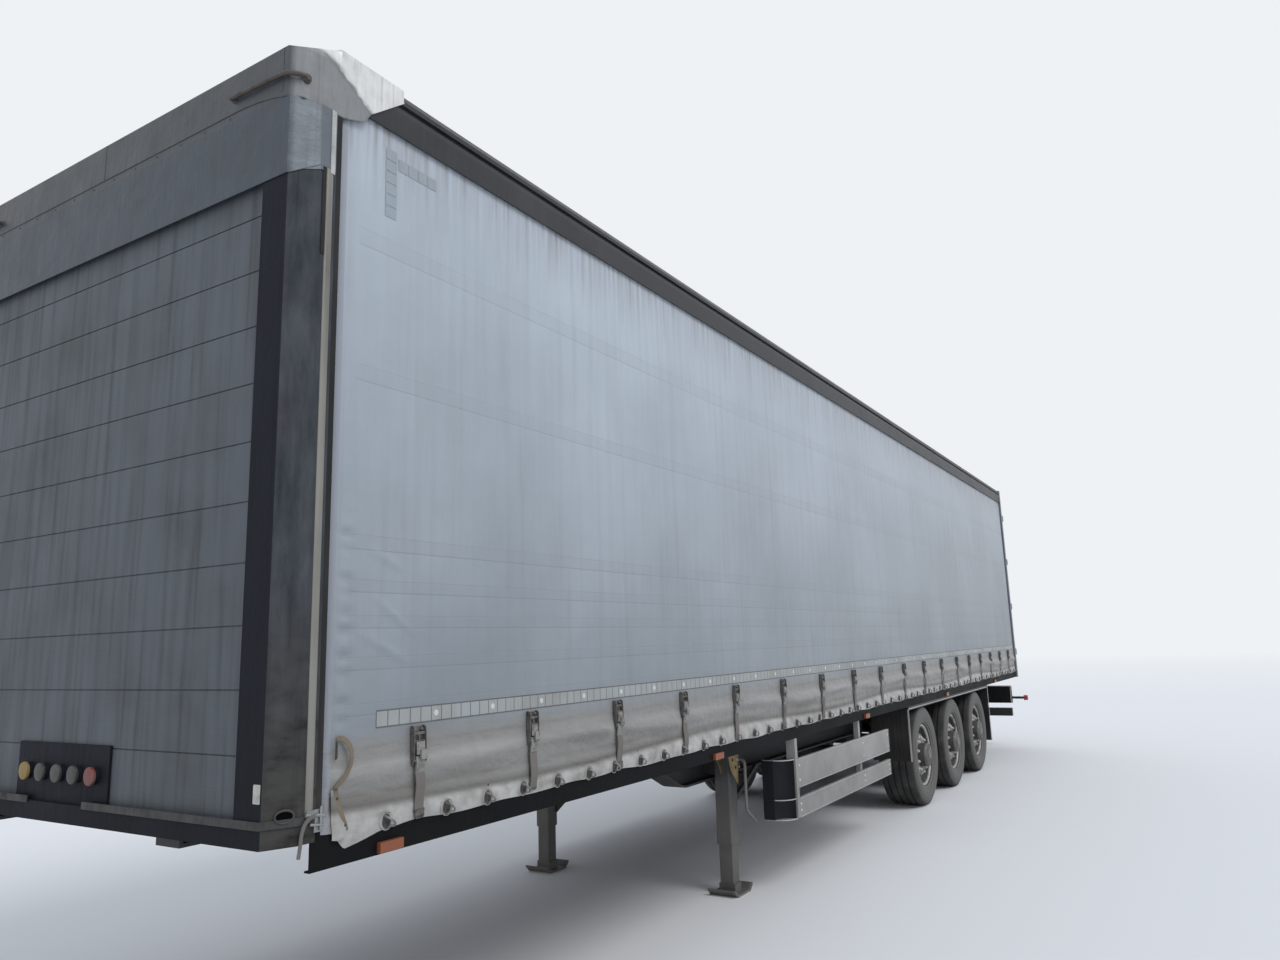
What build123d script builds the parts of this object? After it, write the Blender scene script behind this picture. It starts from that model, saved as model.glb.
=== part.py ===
from build123d import *
import os

# A three-axle curtain-sided semi trailer, in millimetres.
# X runs rearwards, Y to the trailer's right and Z up, from the ground under the middle of its box.
# Places along it are stations, measured rearwards from its foremost sheet.

# Overall sizes
OVERALL_LENGTH = 13760
OVERALL_HEIGHT = 4000
BODY_WIDTH = 2550
FLOOR_TOP = 1200
COUPLING_HEIGHT = 1075
SHEET = 4

# Rear frame
BUFFER_DEPTH = 120
REAR_POST_DEPTH = 80
REAR_POST_WIDTH = 80
REAR_HEADER_DEPTH = 196

# Wheels and axles, with the rearmost axle set from the back
REAR_OVERHANG = 3180
AXLE_PITCH = 1310
TYRE_RADIUS = 500
TYRE_SIDES = 48
TYRE_HALF_WIDTH = 192
TREAD_HALF_WIDTH = 165
TYRE_BULGE_RADIUS = 400
TYRE_Y = 1045
RIM_RADIUS = 286
RIM_HALF_WIDTH = 150
RIM_WALL = 9
DISC_OFFSET = 120
BOLT_COUNT = 10
BOLT_CIRCLE = 167.5
HAND_HOLE_CIRCLE = 226
HAND_HOLE_RADIUS = 24
AXLE_RADIUS = 63.5
SPINDLE_RADIUS = 45
SPINDLE_CLEARANCE = 0.3

# Frame
FLOOR_THICKNESS = 30
FLOOR_EDGE_GAP = 1
BEAM_Y = 650
BEAM_WEB = 8
BEAM_FLANGE = 14
BEAM_FLANGE_WIDTH = 140
BEAM_BOTTOM = 760
NECK_END = 2950
NECK_DROP = 700
NECK_RADIUS = 300
TAIL_BEHIND_AXLE = 1120
TAIL_RISE = 200
COUPLER_THICKNESS = 10
COUPLER_SPAN = (350, 2450)
COUPLER_HALF_WIDTH = 700
COUPLER_NOSE = 60
KINGPIN_STATION = 1650
CROSS_COUNT = 25
CROSS_FIRST = 280
CROSS_LAST_AHEAD = 120
CROSS_WIDTH = 40
CROSS_DEPTH = 70
RAVE_BOTTOM = 1030
RAVE_INSET = 21
RAVE_WALL = 6
RAVE_TOP_WIDTH = 74
RAVE_LEDGE = 100
RAVE_LIP = 26

# Body
POST_DEPTH = 175
POST_WIDTH = 180
CHAMFER_LENGTH = 105
CHAMFER_WIDTH = 45
SILL_DEPTH = 60
SILL_BOTTOM = 1130
HEADER_DROP = 270
WALL_THICKNESS = 25
WALL_PLANK = 212
WALL_GROOVE = 5
RAIL_HEIGHT = 200
RAIL_WIDTH = 110
RAIL_SKIRT = 8
RAIL_TRACK = 130
ROOF_SHEET = 3
ROOF_DROP = 10
BOW_COUNT = 20
BOW_WIDTH = 40
BOW_DEPTH = 28
SOFT_GAP = 0.3

# Front cap and shroud
SHROUD_DROP = 305
SHROUD_CORNER_DROP = 240
CAP_SLOPE_DROP = 65
CAP_SIDE_LENGTH = 505
CAP_ARCH_RISE = 39
CAP_ARCH_RUN = 300
CAP_CORNER_INSET = (62, 22)

# Doors
DOOR_THICKNESS = 32
DOOR_GAP = 6
DOOR_SETBACK = 8
ROD_RADIUS = 14
ROD_INNER_Y = 420
ROD_FROM_POST = 235
ROD_CLEARANCE = 6
HINGE_PIN_INSET = 13
HINGE_PIN_BEHIND = 50
HINGE_PIN_RADIUS = 11
HINGE_CLEARANCE = 0.3
HINGE_COUNT = 4
HINGE_ABOVE_FLOOR = 220
HINGE_BELOW_HEADER = 250

# Curtains
CURTAIN_SHEET = 3
CURTAIN_BOTTOM = 1127
CURTAIN_TUCK = 64
CURTAIN_END_GAP = 30
CURTAIN_REAR_GAP = 12
TUBE_RADIUS = 15

FRONT_X = -OVERALL_LENGTH / 2
HALF_WIDTH = BODY_WIDTH / 2
RAIL_TOP = OVERALL_HEIGHT - SHEET
RAIL_BOTTOM = RAIL_TOP - RAIL_HEIGHT
ROOF_TOP = RAIL_TOP - ROOF_DROP
HEADER_BOTTOM = OVERALL_HEIGHT - HEADER_DROP
SHROUD_BOTTOM = HEADER_BOTTOM - SHROUD_DROP
REAR_HEADER_BOTTOM = RAIL_TOP - REAR_HEADER_DEPTH
RAVE_FACE = HALF_WIDTH - RAVE_INSET
CURTAIN_FACE = RAVE_FACE
CURTAIN_TOP = RAIL_BOTTOM + CURTAIN_TUCK
REAR_FRAME_BACK = OVERALL_LENGTH - BUFFER_DEPTH
REAR_FRAME_FRONT = REAR_FRAME_BACK - REAR_POST_DEPTH
FLOOR_BOTTOM = FLOOR_TOP - FLOOR_THICKNESS
NECK_BOTTOM = COUPLING_HEIGHT + COUPLER_THICKNESS
BEAM_INNER = BEAM_Y - BEAM_FLANGE_WIDTH / 2
BEAM_OUTER = BEAM_Y + BEAM_FLANGE_WIDTH / 2
WEB_INNER = BEAM_Y - BEAM_WEB / 2
WEB_OUTER = BEAM_Y + BEAM_WEB / 2
LAST_AXLE = OVERALL_LENGTH - REAR_OVERHANG
AXLE_STATIONS = [LAST_AXLE - number * AXLE_PITCH for number in (2, 1, 0)]
WHEEL_Z = TYRE_RADIUS


def x_at(station):
    """X of a place along the trailer."""
    return FRONT_X + station


def block(stations, y_span, z_span, mode=Mode.ADD):
    """A plain block between its low and high sides, joined to the open part."""
    spans = ((x_at(stations[0]), x_at(stations[1])), y_span, z_span)
    middle = tuple((low + high) / 2 for low, high in spans)
    with Locations(middle):
        Box(*(high - low for low, high in spans), mode=mode)


def on_side(side, inner, outer):
    """The Y span of a piece on one side, low value first."""
    return tuple(sorted((side * inner, side * outer)))


def keep(name, part):
    """Names a finished piece and writes it."""
    part.label = name
    export_step(part, f"parts/{name}.step")


def keep_pair(name, part):
    """Writes a left piece, and its mirror image on the right."""
    keep(f"{name}_left", part)
    keep(f"{name}_right", part.mirror(Plane.XZ))


os.makedirs("parts", exist_ok=True)

# Main beams: welded I-beams, shallow in the neck over the coupling and deep behind it
HANGER_AHEAD = 480
STIFFENER = 10
cross_low = FLOOR_BOTTOM - CROSS_DEPTH
with BuildPart() as main_beams:
    beam_plane = Plane.XZ.offset(BEAM_Y)
    beam_points = [
        (x_at(SILL_DEPTH + SHEET), FLOOR_BOTTOM),
        (x_at(SILL_DEPTH + SHEET), NECK_BOTTOM),
        (x_at(NECK_END), NECK_BOTTOM),
        (x_at(NECK_END + NECK_DROP), BEAM_BOTTOM),
        (x_at(LAST_AXLE + TAIL_BEHIND_AXLE), BEAM_BOTTOM),
        (x_at(REAR_FRAME_FRONT), BEAM_BOTTOM + TAIL_RISE),
        (x_at(REAR_FRAME_FRONT), FLOOR_BOTTOM),
    ]
    with BuildSketch(beam_plane) as beam_outline:
        with BuildLine():
            Polyline(*beam_points, close=True)
        make_face()
        neck = vertices().filter_by_position(Axis.X, x_at(NECK_END - 1), x_at(NECK_END + NECK_DROP + 1))
        fillet(neck, radius=NECK_RADIUS)
    extrude(amount=BEAM_WEB / 2, both=True)
    with BuildSketch(beam_plane) as beam_rim:
        add(beam_outline.sketch_local)
        offset(amount=-BEAM_FLANGE, kind=Kind.INTERSECTION, mode=Mode.SUBTRACT)
    extrude(amount=BEAM_FLANGE_WIDTH / 2, both=True)
    for station in AXLE_STATIONS:
        hanger = station - HANGER_AHEAD
        block(
            (hanger - STIFFENER / 2, hanger + STIFFENER / 2),
            (-BEAM_OUTER, -BEAM_INNER),
            (BEAM_BOTTOM + BEAM_FLANGE, cross_low - STIFFENER),
        )
    mirror(about=Plane.XZ)
keep("main_beams", main_beams.part)

# Cross members: notched round the beam flanges, with an outrigger to each side rail
with BuildPart() as cross_members:
    notch_top = FLOOR_BOTTOM - BEAM_FLANGE
    ledge_inner = RAVE_FACE - RAVE_LEDGE
    rave_inner = RAVE_FACE - RAVE_WALL
    cross_last = REAR_FRAME_FRONT - CROSS_LAST_AHEAD
    for number in range(CROSS_COUNT):
        share = number / (CROSS_COUNT - 1)
        station = CROSS_FIRST + share * (cross_last - CROSS_FIRST)
        with BuildSketch(Plane.YZ.offset(x_at(station))):
            with BuildLine():
                Polyline(
                    (-WEB_INNER, cross_low),
                    (WEB_INNER, cross_low),
                    (WEB_INNER, notch_top),
                    (BEAM_INNER, notch_top),
                    (BEAM_INNER, FLOOR_BOTTOM),
                    (-BEAM_INNER, FLOOR_BOTTOM),
                    (-BEAM_INNER, notch_top),
                    (-WEB_INNER, notch_top),
                    close=True,
                )
            make_face()
            for side in (-1, 1):
                with BuildLine():
                    Polyline(
                        (side * WEB_OUTER, cross_low),
                        (side * rave_inner, cross_low + CROSS_DEPTH / 3),
                        (side * rave_inner, FLOOR_BOTTOM - RAVE_WALL),
                        (side * ledge_inner, FLOOR_BOTTOM - RAVE_WALL),
                        (side * ledge_inner, FLOOR_BOTTOM),
                        (side * BEAM_OUTER, FLOOR_BOTTOM),
                        (side * BEAM_OUTER, notch_top),
                        (side * WEB_OUTER, notch_top),
                        close=True,
                    )
                make_face()
        extrude(amount=CROSS_WIDTH / 2, both=True)
keep("cross_members", cross_members.part)

# Side rails: folded sections with a boxed top edge and a ledge under the floor, from post to post
post_rear = SHEET + POST_DEPTH
rave_top_inner = RAVE_FACE - RAVE_TOP_WIDTH
with BuildPart() as side_rails:
    with BuildSketch(Plane.YZ.offset(x_at(post_rear))):
        with BuildLine():
            Polyline(
                (-RAVE_FACE, FLOOR_TOP),
                (-RAVE_FACE, RAVE_BOTTOM),
                (-RAVE_FACE + RAVE_LIP, RAVE_BOTTOM),
                (-RAVE_FACE + RAVE_LIP, RAVE_BOTTOM + RAVE_WALL),
                (-RAVE_FACE + RAVE_WALL, RAVE_BOTTOM + RAVE_WALL),
                (-RAVE_FACE + RAVE_WALL, FLOOR_BOTTOM - RAVE_WALL),
                (-RAVE_FACE + RAVE_LEDGE, FLOOR_BOTTOM - RAVE_WALL),
                (-RAVE_FACE + RAVE_LEDGE, FLOOR_BOTTOM),
                (-rave_top_inner, FLOOR_BOTTOM),
                (-rave_top_inner, FLOOR_TOP),
                close=True,
            )
        make_face()
        with Locations((-RAVE_FACE + RAVE_TOP_WIDTH / 2, (FLOOR_TOP + FLOOR_BOTTOM - RAVE_WALL) / 2)):
            Rectangle(RAVE_TOP_WIDTH - 2 * RAVE_WALL, FLOOR_THICKNESS - 2 * RAVE_WALL, mode=Mode.SUBTRACT)
    extrude(amount=REAR_FRAME_FRONT - post_rear)
    mirror(about=Plane.XZ)
keep("side_rails", side_rails.part)

# Floor deck: plywood between the side rails
floor_half_width = rave_top_inner - FLOOR_EDGE_GAP
with BuildPart() as floor_deck:
    block(
        (SHEET + SILL_DEPTH, REAR_FRAME_FRONT),
        (-floor_half_width, floor_half_width),
        (FLOOR_BOTTOM, FLOOR_TOP),
    )
keep("floor_deck", floor_deck.part)

# Coupling plate: a flat skid plate under the neck with a turned-up nose, holed for the kingpin
KINGPIN_SHANK = 36
KINGPIN_SHOULDER = 36.5
KINGPIN_NECK = 25.4
KINGPIN_FOOT = 35.7
KINGPIN_SHOULDER_DROP = 34
KINGPIN_NECK_DROP = 66
KINGPIN_CHAMFER = 2
KINGPIN_LENGTH = 84
KINGPIN_FLANGE = 82
KINGPIN_FLANGE_THICKNESS = 12
KINGPIN_HOLE_GAP = 0.5
with BuildPart() as coupling_plate:
    with BuildSketch(Plane.XZ):
        with BuildLine():
            Polyline(
                (x_at(COUPLER_SPAN[0]), NECK_BOTTOM),
                (x_at(COUPLER_SPAN[0]), COUPLING_HEIGHT + COUPLER_THICKNESS / 2),
                (x_at(COUPLER_SPAN[0] + COUPLER_NOSE), COUPLING_HEIGHT),
                (x_at(COUPLER_SPAN[1]), COUPLING_HEIGHT),
                (x_at(COUPLER_SPAN[1]), NECK_BOTTOM),
                close=True,
            )
        make_face()
    extrude(amount=COUPLER_HALF_WIDTH, both=True)
    with Locations((x_at(KINGPIN_STATION), 0, NECK_BOTTOM)):
        Cylinder(KINGPIN_SHOULDER + KINGPIN_HOLE_GAP, 4 * COUPLER_THICKNESS, mode=Mode.SUBTRACT)
keep("coupling_plate", coupling_plate.part)

with BuildPart() as kingpin:
    with BuildSketch(Plane.XZ):
        with BuildLine():
            Polyline(
                (0, NECK_BOTTOM + KINGPIN_FLANGE_THICKNESS),
                (KINGPIN_FLANGE, NECK_BOTTOM + KINGPIN_FLANGE_THICKNESS),
                (KINGPIN_FLANGE, NECK_BOTTOM),
                (KINGPIN_SHANK, NECK_BOTTOM),
                (KINGPIN_SHANK, COUPLING_HEIGHT),
                (KINGPIN_SHOULDER, COUPLING_HEIGHT),
                (KINGPIN_SHOULDER, COUPLING_HEIGHT - KINGPIN_SHOULDER_DROP),
                (KINGPIN_NECK, COUPLING_HEIGHT - KINGPIN_SHOULDER_DROP - KINGPIN_CHAMFER),
                (KINGPIN_NECK, COUPLING_HEIGHT - KINGPIN_NECK_DROP),
                (KINGPIN_FOOT, COUPLING_HEIGHT - KINGPIN_NECK_DROP - KINGPIN_CHAMFER),
                (KINGPIN_FOOT, COUPLING_HEIGHT - KINGPIN_LENGTH),
                (0, COUPLING_HEIGHT - KINGPIN_LENGTH),
                close=True,
            )
        make_face()
    revolve(axis=Axis.Z)
keep("kingpin", kingpin.part.moved(Location((x_at(KINGPIN_STATION), 0, 0))))

# Front sill: chamfered at its corners, with the panel of air and power sockets standing on it
SOCKET_PANEL = (330, 220)
SOCKET_RADIUS = 32
SOCKET_LENGTH = 17
SOCKET_PITCH = 120
SOCKET_COUNT = 5
post_inner = HALF_WIDTH - POST_WIDTH
wall_front = SHEET + WALL_THICKNESS
front_corner = [
    (x_at(SHEET), -HALF_WIDTH + CHAMFER_WIDTH),
    (x_at(SHEET + CHAMFER_LENGTH), -HALF_WIDTH),
    (x_at(post_rear), -HALF_WIDTH),
]
with BuildPart() as front_sill:
    with BuildSketch(Plane.XY.offset(SILL_BOTTOM)):
        with BuildLine():
            Polyline(
                (x_at(SHEET), 0),
                *front_corner,
                (x_at(post_rear), -rave_top_inner),
                (x_at(SHEET + SILL_DEPTH), -rave_top_inner),
                (x_at(SHEET + SILL_DEPTH), 0),
                close=True,
            )
        make_face()
        mirror(about=Plane.XZ)
    extrude(amount=FLOOR_TOP - SILL_BOTTOM)
    socket_plate = wall_front - STIFFENER
    block(
        (socket_plate, wall_front),
        (-SOCKET_PANEL[0], SOCKET_PANEL[0]),
        (FLOOR_TOP, FLOOR_TOP + SOCKET_PANEL[1]),
    )
    with BuildSketch(Plane.YZ.offset(x_at(socket_plate))):
        with Locations((0, FLOOR_TOP + SOCKET_PANEL[1] / 2)):
            with GridLocations(SOCKET_PITCH, 0, SOCKET_COUNT, 1):
                Circle(SOCKET_RADIUS)
    extrude(amount=-SOCKET_LENGTH)
keep("front_sill", front_sill.part)

# Front corner posts: L-sections round the load space, chamfered outside
with BuildPart() as front_post:
    with BuildSketch(Plane.XY.offset(FLOOR_TOP)):
        with BuildLine():
            Polyline(
                (x_at(SHEET), -post_inner),
                *front_corner,
                (x_at(post_rear), -rave_top_inner),
                (x_at(SHEET + SILL_DEPTH), -rave_top_inner),
                (x_at(SHEET + SILL_DEPTH), -post_inner),
                close=True,
            )
        make_face()
    extrude(amount=HEADER_BOTTOM - FLOOR_TOP)
keep_pair("front_post", front_post.part)

# Front wall: planks stacked with a groove at each joint
wall_planks = int((HEADER_BOTTOM - FLOOR_TOP) / WALL_PLANK)
with BuildPart() as front_wall:
    block(
        (wall_front, wall_front + WALL_THICKNESS),
        (-post_inner, post_inner),
        (FLOOR_TOP, HEADER_BOTTOM),
    )
    for plank in range(1, wall_planks + 1):
        joint = FLOOR_TOP + plank * WALL_PLANK
        block(
            (wall_front, wall_front + WALL_GROOVE),
            (-post_inner, post_inner),
            (joint - WALL_GROOVE, joint),
            mode=Mode.SUBTRACT,
        )
keep("front_wall", front_wall.part)

# Roof rails: a dark extrusion with a lip over a groove, a deep skirt over the curtain track,
# and a front end mitred to pass under the cap's corner
MITRE_LENGTH = 131
MITRE_DEPTH = 13
with BuildPart() as roof_rails:
    with BuildSketch(Plane.YZ.offset(x_at(post_rear))):
        with BuildLine():
            Polyline(
                (-HALF_WIDTH + RAIL_SKIRT, RAIL_BOTTOM),
                (-HALF_WIDTH + 3, RAIL_BOTTOM),
                (-HALF_WIDTH, RAIL_BOTTOM + 99),
                (-HALF_WIDTH + 2, RAIL_BOTTOM + 121),
                (-HALF_WIDTH + 14, RAIL_BOTTOM + 124),
                (-HALF_WIDTH + 14, RAIL_BOTTOM + 140),
                (-HALF_WIDTH, RAIL_BOTTOM + 142),
                (-HALF_WIDTH, RAIL_BOTTOM + 162),
                (-HALF_WIDTH + 8, RAIL_BOTTOM + 165),
                (-HALF_WIDTH + 25, RAIL_TOP),
                (-HALF_WIDTH + RAIL_WIDTH, RAIL_TOP),
                (-HALF_WIDTH + RAIL_WIDTH, RAIL_BOTTOM + 64),
                (-HALF_WIDTH + RAIL_WIDTH - 12, RAIL_BOTTOM + 64),
                (-HALF_WIDTH + RAIL_WIDTH - 12, RAIL_BOTTOM + RAIL_TRACK),
                (-HALF_WIDTH + 28, RAIL_BOTTOM + RAIL_TRACK),
                (-HALF_WIDTH + 28, RAIL_BOTTOM + 104),
                (-HALF_WIDTH + RAIL_SKIRT, RAIL_BOTTOM + 99),
                close=True,
            )
        make_face()
    extrude(amount=REAR_FRAME_FRONT - post_rear)
    with BuildSketch(Plane.XY.offset(RAIL_BOTTOM)) as mitre:
        with BuildLine():
            Polyline(
                (x_at(post_rear), -HALF_WIDTH + MITRE_DEPTH),
                (x_at(post_rear + MITRE_LENGTH), -HALF_WIDTH),
                (x_at(post_rear), -HALF_WIDTH),
                close=True,
            )
        make_face()
    extrude(amount=RAIL_HEIGHT, mode=Mode.SUBTRACT)
    mirror(about=Plane.XZ)
keep("roof_rails", roof_rails.part)

# Front shroud: bare aluminium sheet folded round the head of the wall and posts, with an arched top
# How far the arch's middle point lies outside its chord's middle, and its share of the rise
SHOULDER_SHIFT = 20
SHOULDER_SHARE = 0.7
cap_front_half = HALF_WIDTH - CAP_CORNER_INSET[0]
arch_flat = cap_front_half - CAP_ARCH_RUN
arch_top = HEADER_BOTTOM + CAP_ARCH_RISE
shoulder = (
    (cap_front_half + arch_flat) / 2 + SHOULDER_SHIFT,
    HEADER_BOTTOM + SHOULDER_SHARE * CAP_ARCH_RISE,
)
shroud_corner_bottom = HEADER_BOTTOM - SHROUD_CORNER_DROP
with BuildSketch(Plane.YZ.offset(x_at(0))) as arch:
    with BuildLine():
        Line((-arch_flat, arch_top), (arch_flat, arch_top))
        ThreePointArc((arch_flat, arch_top), shoulder, (cap_front_half, HEADER_BOTTOM))
        Line((cap_front_half, HEADER_BOTTOM), (-cap_front_half, HEADER_BOTTOM))
        ThreePointArc(
            (-cap_front_half, HEADER_BOTTOM),
            (-shoulder[0], shoulder[1]),
            (-arch_flat, arch_top),
        )
    make_face()
with BuildPart() as front_shroud:
    with BuildSketch(Plane.XY.offset(SHROUD_BOTTOM)):
        with BuildLine():
            Polyline(
                (x_at(0), 0),
                (x_at(0), -HALF_WIDTH + CHAMFER_WIDTH - SHEET / 2),
                (x_at(CHAMFER_LENGTH), -HALF_WIDTH - SHEET),
                (x_at(post_rear - SHEET), -HALF_WIDTH - SHEET),
                (x_at(post_rear - SHEET), -HALF_WIDTH),
                (x_at(SHEET + CHAMFER_LENGTH), -HALF_WIDTH),
                (x_at(SHEET), -HALF_WIDTH + CHAMFER_WIDTH),
                (x_at(SHEET), 0),
                close=True,
            )
        make_face()
        mirror(about=Plane.XZ)
    extrude(amount=HEADER_BOTTOM - SHROUD_BOTTOM)
    add(extrude(arch.sketch, amount=SHEET, mode=Mode.PRIVATE))
    with BuildSketch(Plane.XZ):
        with BuildLine():
            Polyline(
                (x_at(SHEET), SHROUD_BOTTOM),
                (x_at(SHEET + CHAMFER_LENGTH), shroud_corner_bottom),
                (x_at(post_rear), shroud_corner_bottom),
                (x_at(post_rear), SHROUD_BOTTOM),
                close=True,
            )
        make_face()
    extrude(amount=BODY_WIDTH, both=True, mode=Mode.SUBTRACT)
keep("front_shroud", front_shroud.part)

# Front cap: a folded aluminium head over the header and the rails' ends, with a faceted corner
# Columns: height, how far its front leans back, where its corner ends, where its side crease falls
CAP_SECTIONS = (
    (HEADER_BOTTOM, 0, 40, 335),
    (OVERALL_HEIGHT - CAP_SLOPE_DROP, 0, 40, 200),
    (OVERALL_HEIGHT, 165, 172, 185),
)
# Columns: station, height of the cap's lower edge over the header's, along the side
CAP_SIDE_EDGE = ((209, 0), (304, 30), (332, 75), (CAP_SIDE_LENGTH, 215))
# Columns: station, depth of the hollow's ceiling below the cap's top
CAP_CEILING = ((64, 46), (150, 12))
CAP_SKIN_END = 260
with BuildPart() as front_cap:
    for height, lean, corner, crease in CAP_SECTIONS:
        half = [
            (x_at(lean), -cap_front_half),
            (x_at(corner), -HALF_WIDTH + CAP_CORNER_INSET[1]),
            (x_at(crease), -HALF_WIDTH - SHEET),
            (x_at(CAP_SIDE_LENGTH), -HALF_WIDTH - SHEET),
        ]
        with BuildSketch(Plane.XY.offset(height)):
            with BuildLine():
                Polyline(*half, *[(x, -y) for x, y in reversed(half)], close=True)
            make_face()
    loft(ruled=True)
    with BuildSketch(Plane.XZ):
        with BuildLine():
            Polyline(
                (x_at(CAP_CEILING[0][0]), HEADER_BOTTOM),
                *[(x_at(station), OVERALL_HEIGHT - depth) for station, depth in CAP_CEILING],
                (x_at(post_rear), RAIL_TOP),
                (x_at(CAP_SIDE_LENGTH), RAIL_TOP),
                (x_at(CAP_SIDE_LENGTH), HEADER_BOTTOM),
                close=True,
            )
        make_face()
    extrude(amount=rave_top_inner, both=True, mode=Mode.SUBTRACT)
    with BuildSketch(Plane.XY.offset(HEADER_BOTTOM)):
        with BuildLine():
            Polyline(
                (x_at(post_rear), 0),
                (x_at(post_rear), -HALF_WIDTH + MITRE_DEPTH - SOFT_GAP),
                (x_at(post_rear + MITRE_LENGTH), -HALF_WIDTH),
                (x_at(CAP_SIDE_LENGTH), -HALF_WIDTH),
                (x_at(CAP_SIDE_LENGTH), 0),
                close=True,
            )
        make_face()
        mirror(about=Plane.XZ)
    extrude(amount=RAIL_TOP - HEADER_BOTTOM, mode=Mode.SUBTRACT)
    block(
        (CAP_SKIN_END, CAP_SIDE_LENGTH),
        (-HALF_WIDTH + RAIL_WIDTH, HALF_WIDTH - RAIL_WIDTH),
        (RAIL_TOP, OVERALL_HEIGHT),
        mode=Mode.SUBTRACT,
    )
    with BuildSketch(Plane.XZ):
        with BuildLine():
            Polyline(
                *[(x_at(station), HEADER_BOTTOM + rise) for station, rise in CAP_SIDE_EDGE],
                (x_at(CAP_SIDE_LENGTH), HEADER_BOTTOM),
                close=True,
            )
        make_face()
    extrude(amount=BODY_WIDTH, both=True, mode=Mode.SUBTRACT)
    add(extrude(arch.sketch, amount=SHEET, mode=Mode.PRIVATE), mode=Mode.SUBTRACT)
keep("front_cap", front_cap.part)

# Roof: cross bows between the rails, with the roof sheet stretched over them
roof_half_width = HALF_WIDTH - RAIL_WIDTH
bow_top = ROOF_TOP - ROOF_SHEET - SOFT_GAP
with BuildPart() as roof_bows:
    first_bow = post_rear + BOW_WIDTH
    last_bow = REAR_FRAME_FRONT - BOW_WIDTH
    for number in range(BOW_COUNT):
        station = first_bow + number * (last_bow - first_bow) / (BOW_COUNT - 1)
        block(
            (station - BOW_WIDTH / 2, station + BOW_WIDTH / 2),
            (-roof_half_width, roof_half_width),
            (bow_top - BOW_DEPTH, bow_top),
        )
keep("roof_bows", roof_bows.part)

with BuildPart() as roof_sheet:
    block(
        (post_rear, REAR_FRAME_FRONT - 1),
        (-roof_half_width + SOFT_GAP, roof_half_width - SOFT_GAP),
        (ROOF_TOP - ROOF_SHEET, ROOF_TOP),
    )
keep("roof_sheet", roof_sheet.part)

# Rear frame: two posts with hinge lugs, a sill and a header, both with keepers for the lock rods
pin_station = REAR_FRAME_BACK + HINGE_PIN_BEHIND
KNUCKLE_RADIUS = 21
KNUCKLE_HEIGHT = 44
LUG_HEIGHT = 20
LUG_GAP = 3
rear_post_inner = HALF_WIDTH - REAR_POST_WIDTH
hinge_pin_y = HALF_WIDTH - HINGE_PIN_INSET
hinge_low = FLOOR_TOP + HINGE_ABOVE_FLOOR
hinge_pitch = (REAR_HEADER_BOTTOM - HINGE_BELOW_HEADER - hinge_low) / (HINGE_COUNT - 1)
hinge_heights = [hinge_low + number * hinge_pitch for number in range(HINGE_COUNT)]
with BuildPart() as rear_post:
    block(
        (REAR_FRAME_FRONT, REAR_FRAME_BACK),
        (-HALF_WIDTH, -rear_post_inner),
        (RAVE_BOTTOM, RAIL_TOP),
    )
    lug_reach = KNUCKLE_HEIGHT / 2 + LUG_GAP
    for height in hinge_heights:
        for low in (height - lug_reach - LUG_HEIGHT, height + lug_reach):
            with BuildSketch(Plane.XY.offset(low)):
                with BuildLine():
                    Polyline(
                        (x_at(REAR_FRAME_BACK), -hinge_pin_y + 30),
                        (x_at(REAR_FRAME_BACK), -HALF_WIDTH),
                        (x_at(pin_station), -HALF_WIDTH - 6),
                        (x_at(pin_station + 14), -hinge_pin_y + 12),
                        close=True,
                    )
                make_face()
                with Locations((x_at(pin_station), -hinge_pin_y)):
                    Circle(KNUCKLE_RADIUS - 2)
            extrude(amount=LUG_HEIGHT)
        with Locations((x_at(pin_station), -hinge_pin_y, height)):
            Cylinder(HINGE_PIN_RADIUS, 2 * (lug_reach + LUG_HEIGHT) + 8)
keep_pair("rear_post", rear_post.part)

CAM_HALF_WIDTH = 18
CAM_HEIGHT = 44
CAM_REACH = 20
CAM_FROM_END = 10
ROD_OVERRUN = 90
KEEPER_GAP = 12
KEEPER_WALL = 10
KEEPER_DEPTH = 44
KEEPER_HEIGHT = 50
rod_sides = (ROD_INNER_Y, rear_post_inner - ROD_FROM_POST)
rod_low = FLOOR_TOP - ROD_OVERRUN
rod_high = REAR_HEADER_BOTTOM + ROD_OVERRUN
low_cam = rod_low + CAM_HEIGHT / 2 + CAM_FROM_END
high_cam = rod_high - CAM_HEIGHT / 2 - CAM_FROM_END


def add_keepers(height):
    """Joins the two cheeks that take each lock rod's cam, on both sides of the rear frame."""
    inner = CAM_HALF_WIDTH + KEEPER_GAP
    for rod_y in rod_sides:
        for side in (-1, 1):
            for cheek in (side * rod_y - inner - KEEPER_WALL, side * rod_y + inner):
                block(
                    (REAR_FRAME_BACK, REAR_FRAME_BACK + KEEPER_DEPTH),
                    (cheek, cheek + KEEPER_WALL),
                    (height - KEEPER_HEIGHT / 2, height + KEEPER_HEIGHT / 2),
                )


with BuildPart() as rear_header:
    block(
        (REAR_FRAME_FRONT, REAR_FRAME_BACK),
        (-rear_post_inner, rear_post_inner),
        (REAR_HEADER_BOTTOM, RAIL_TOP),
    )
    add_keepers(high_cam)
keep("rear_header", rear_header.part)

with BuildPart() as rear_sill:
    block(
        (REAR_FRAME_FRONT, REAR_FRAME_BACK),
        (-rear_post_inner, rear_post_inner),
        (RAVE_BOTTOM, FLOOR_TOP),
    )
    add_keepers(low_cam)
keep("rear_sill", rear_sill.part)

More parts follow.
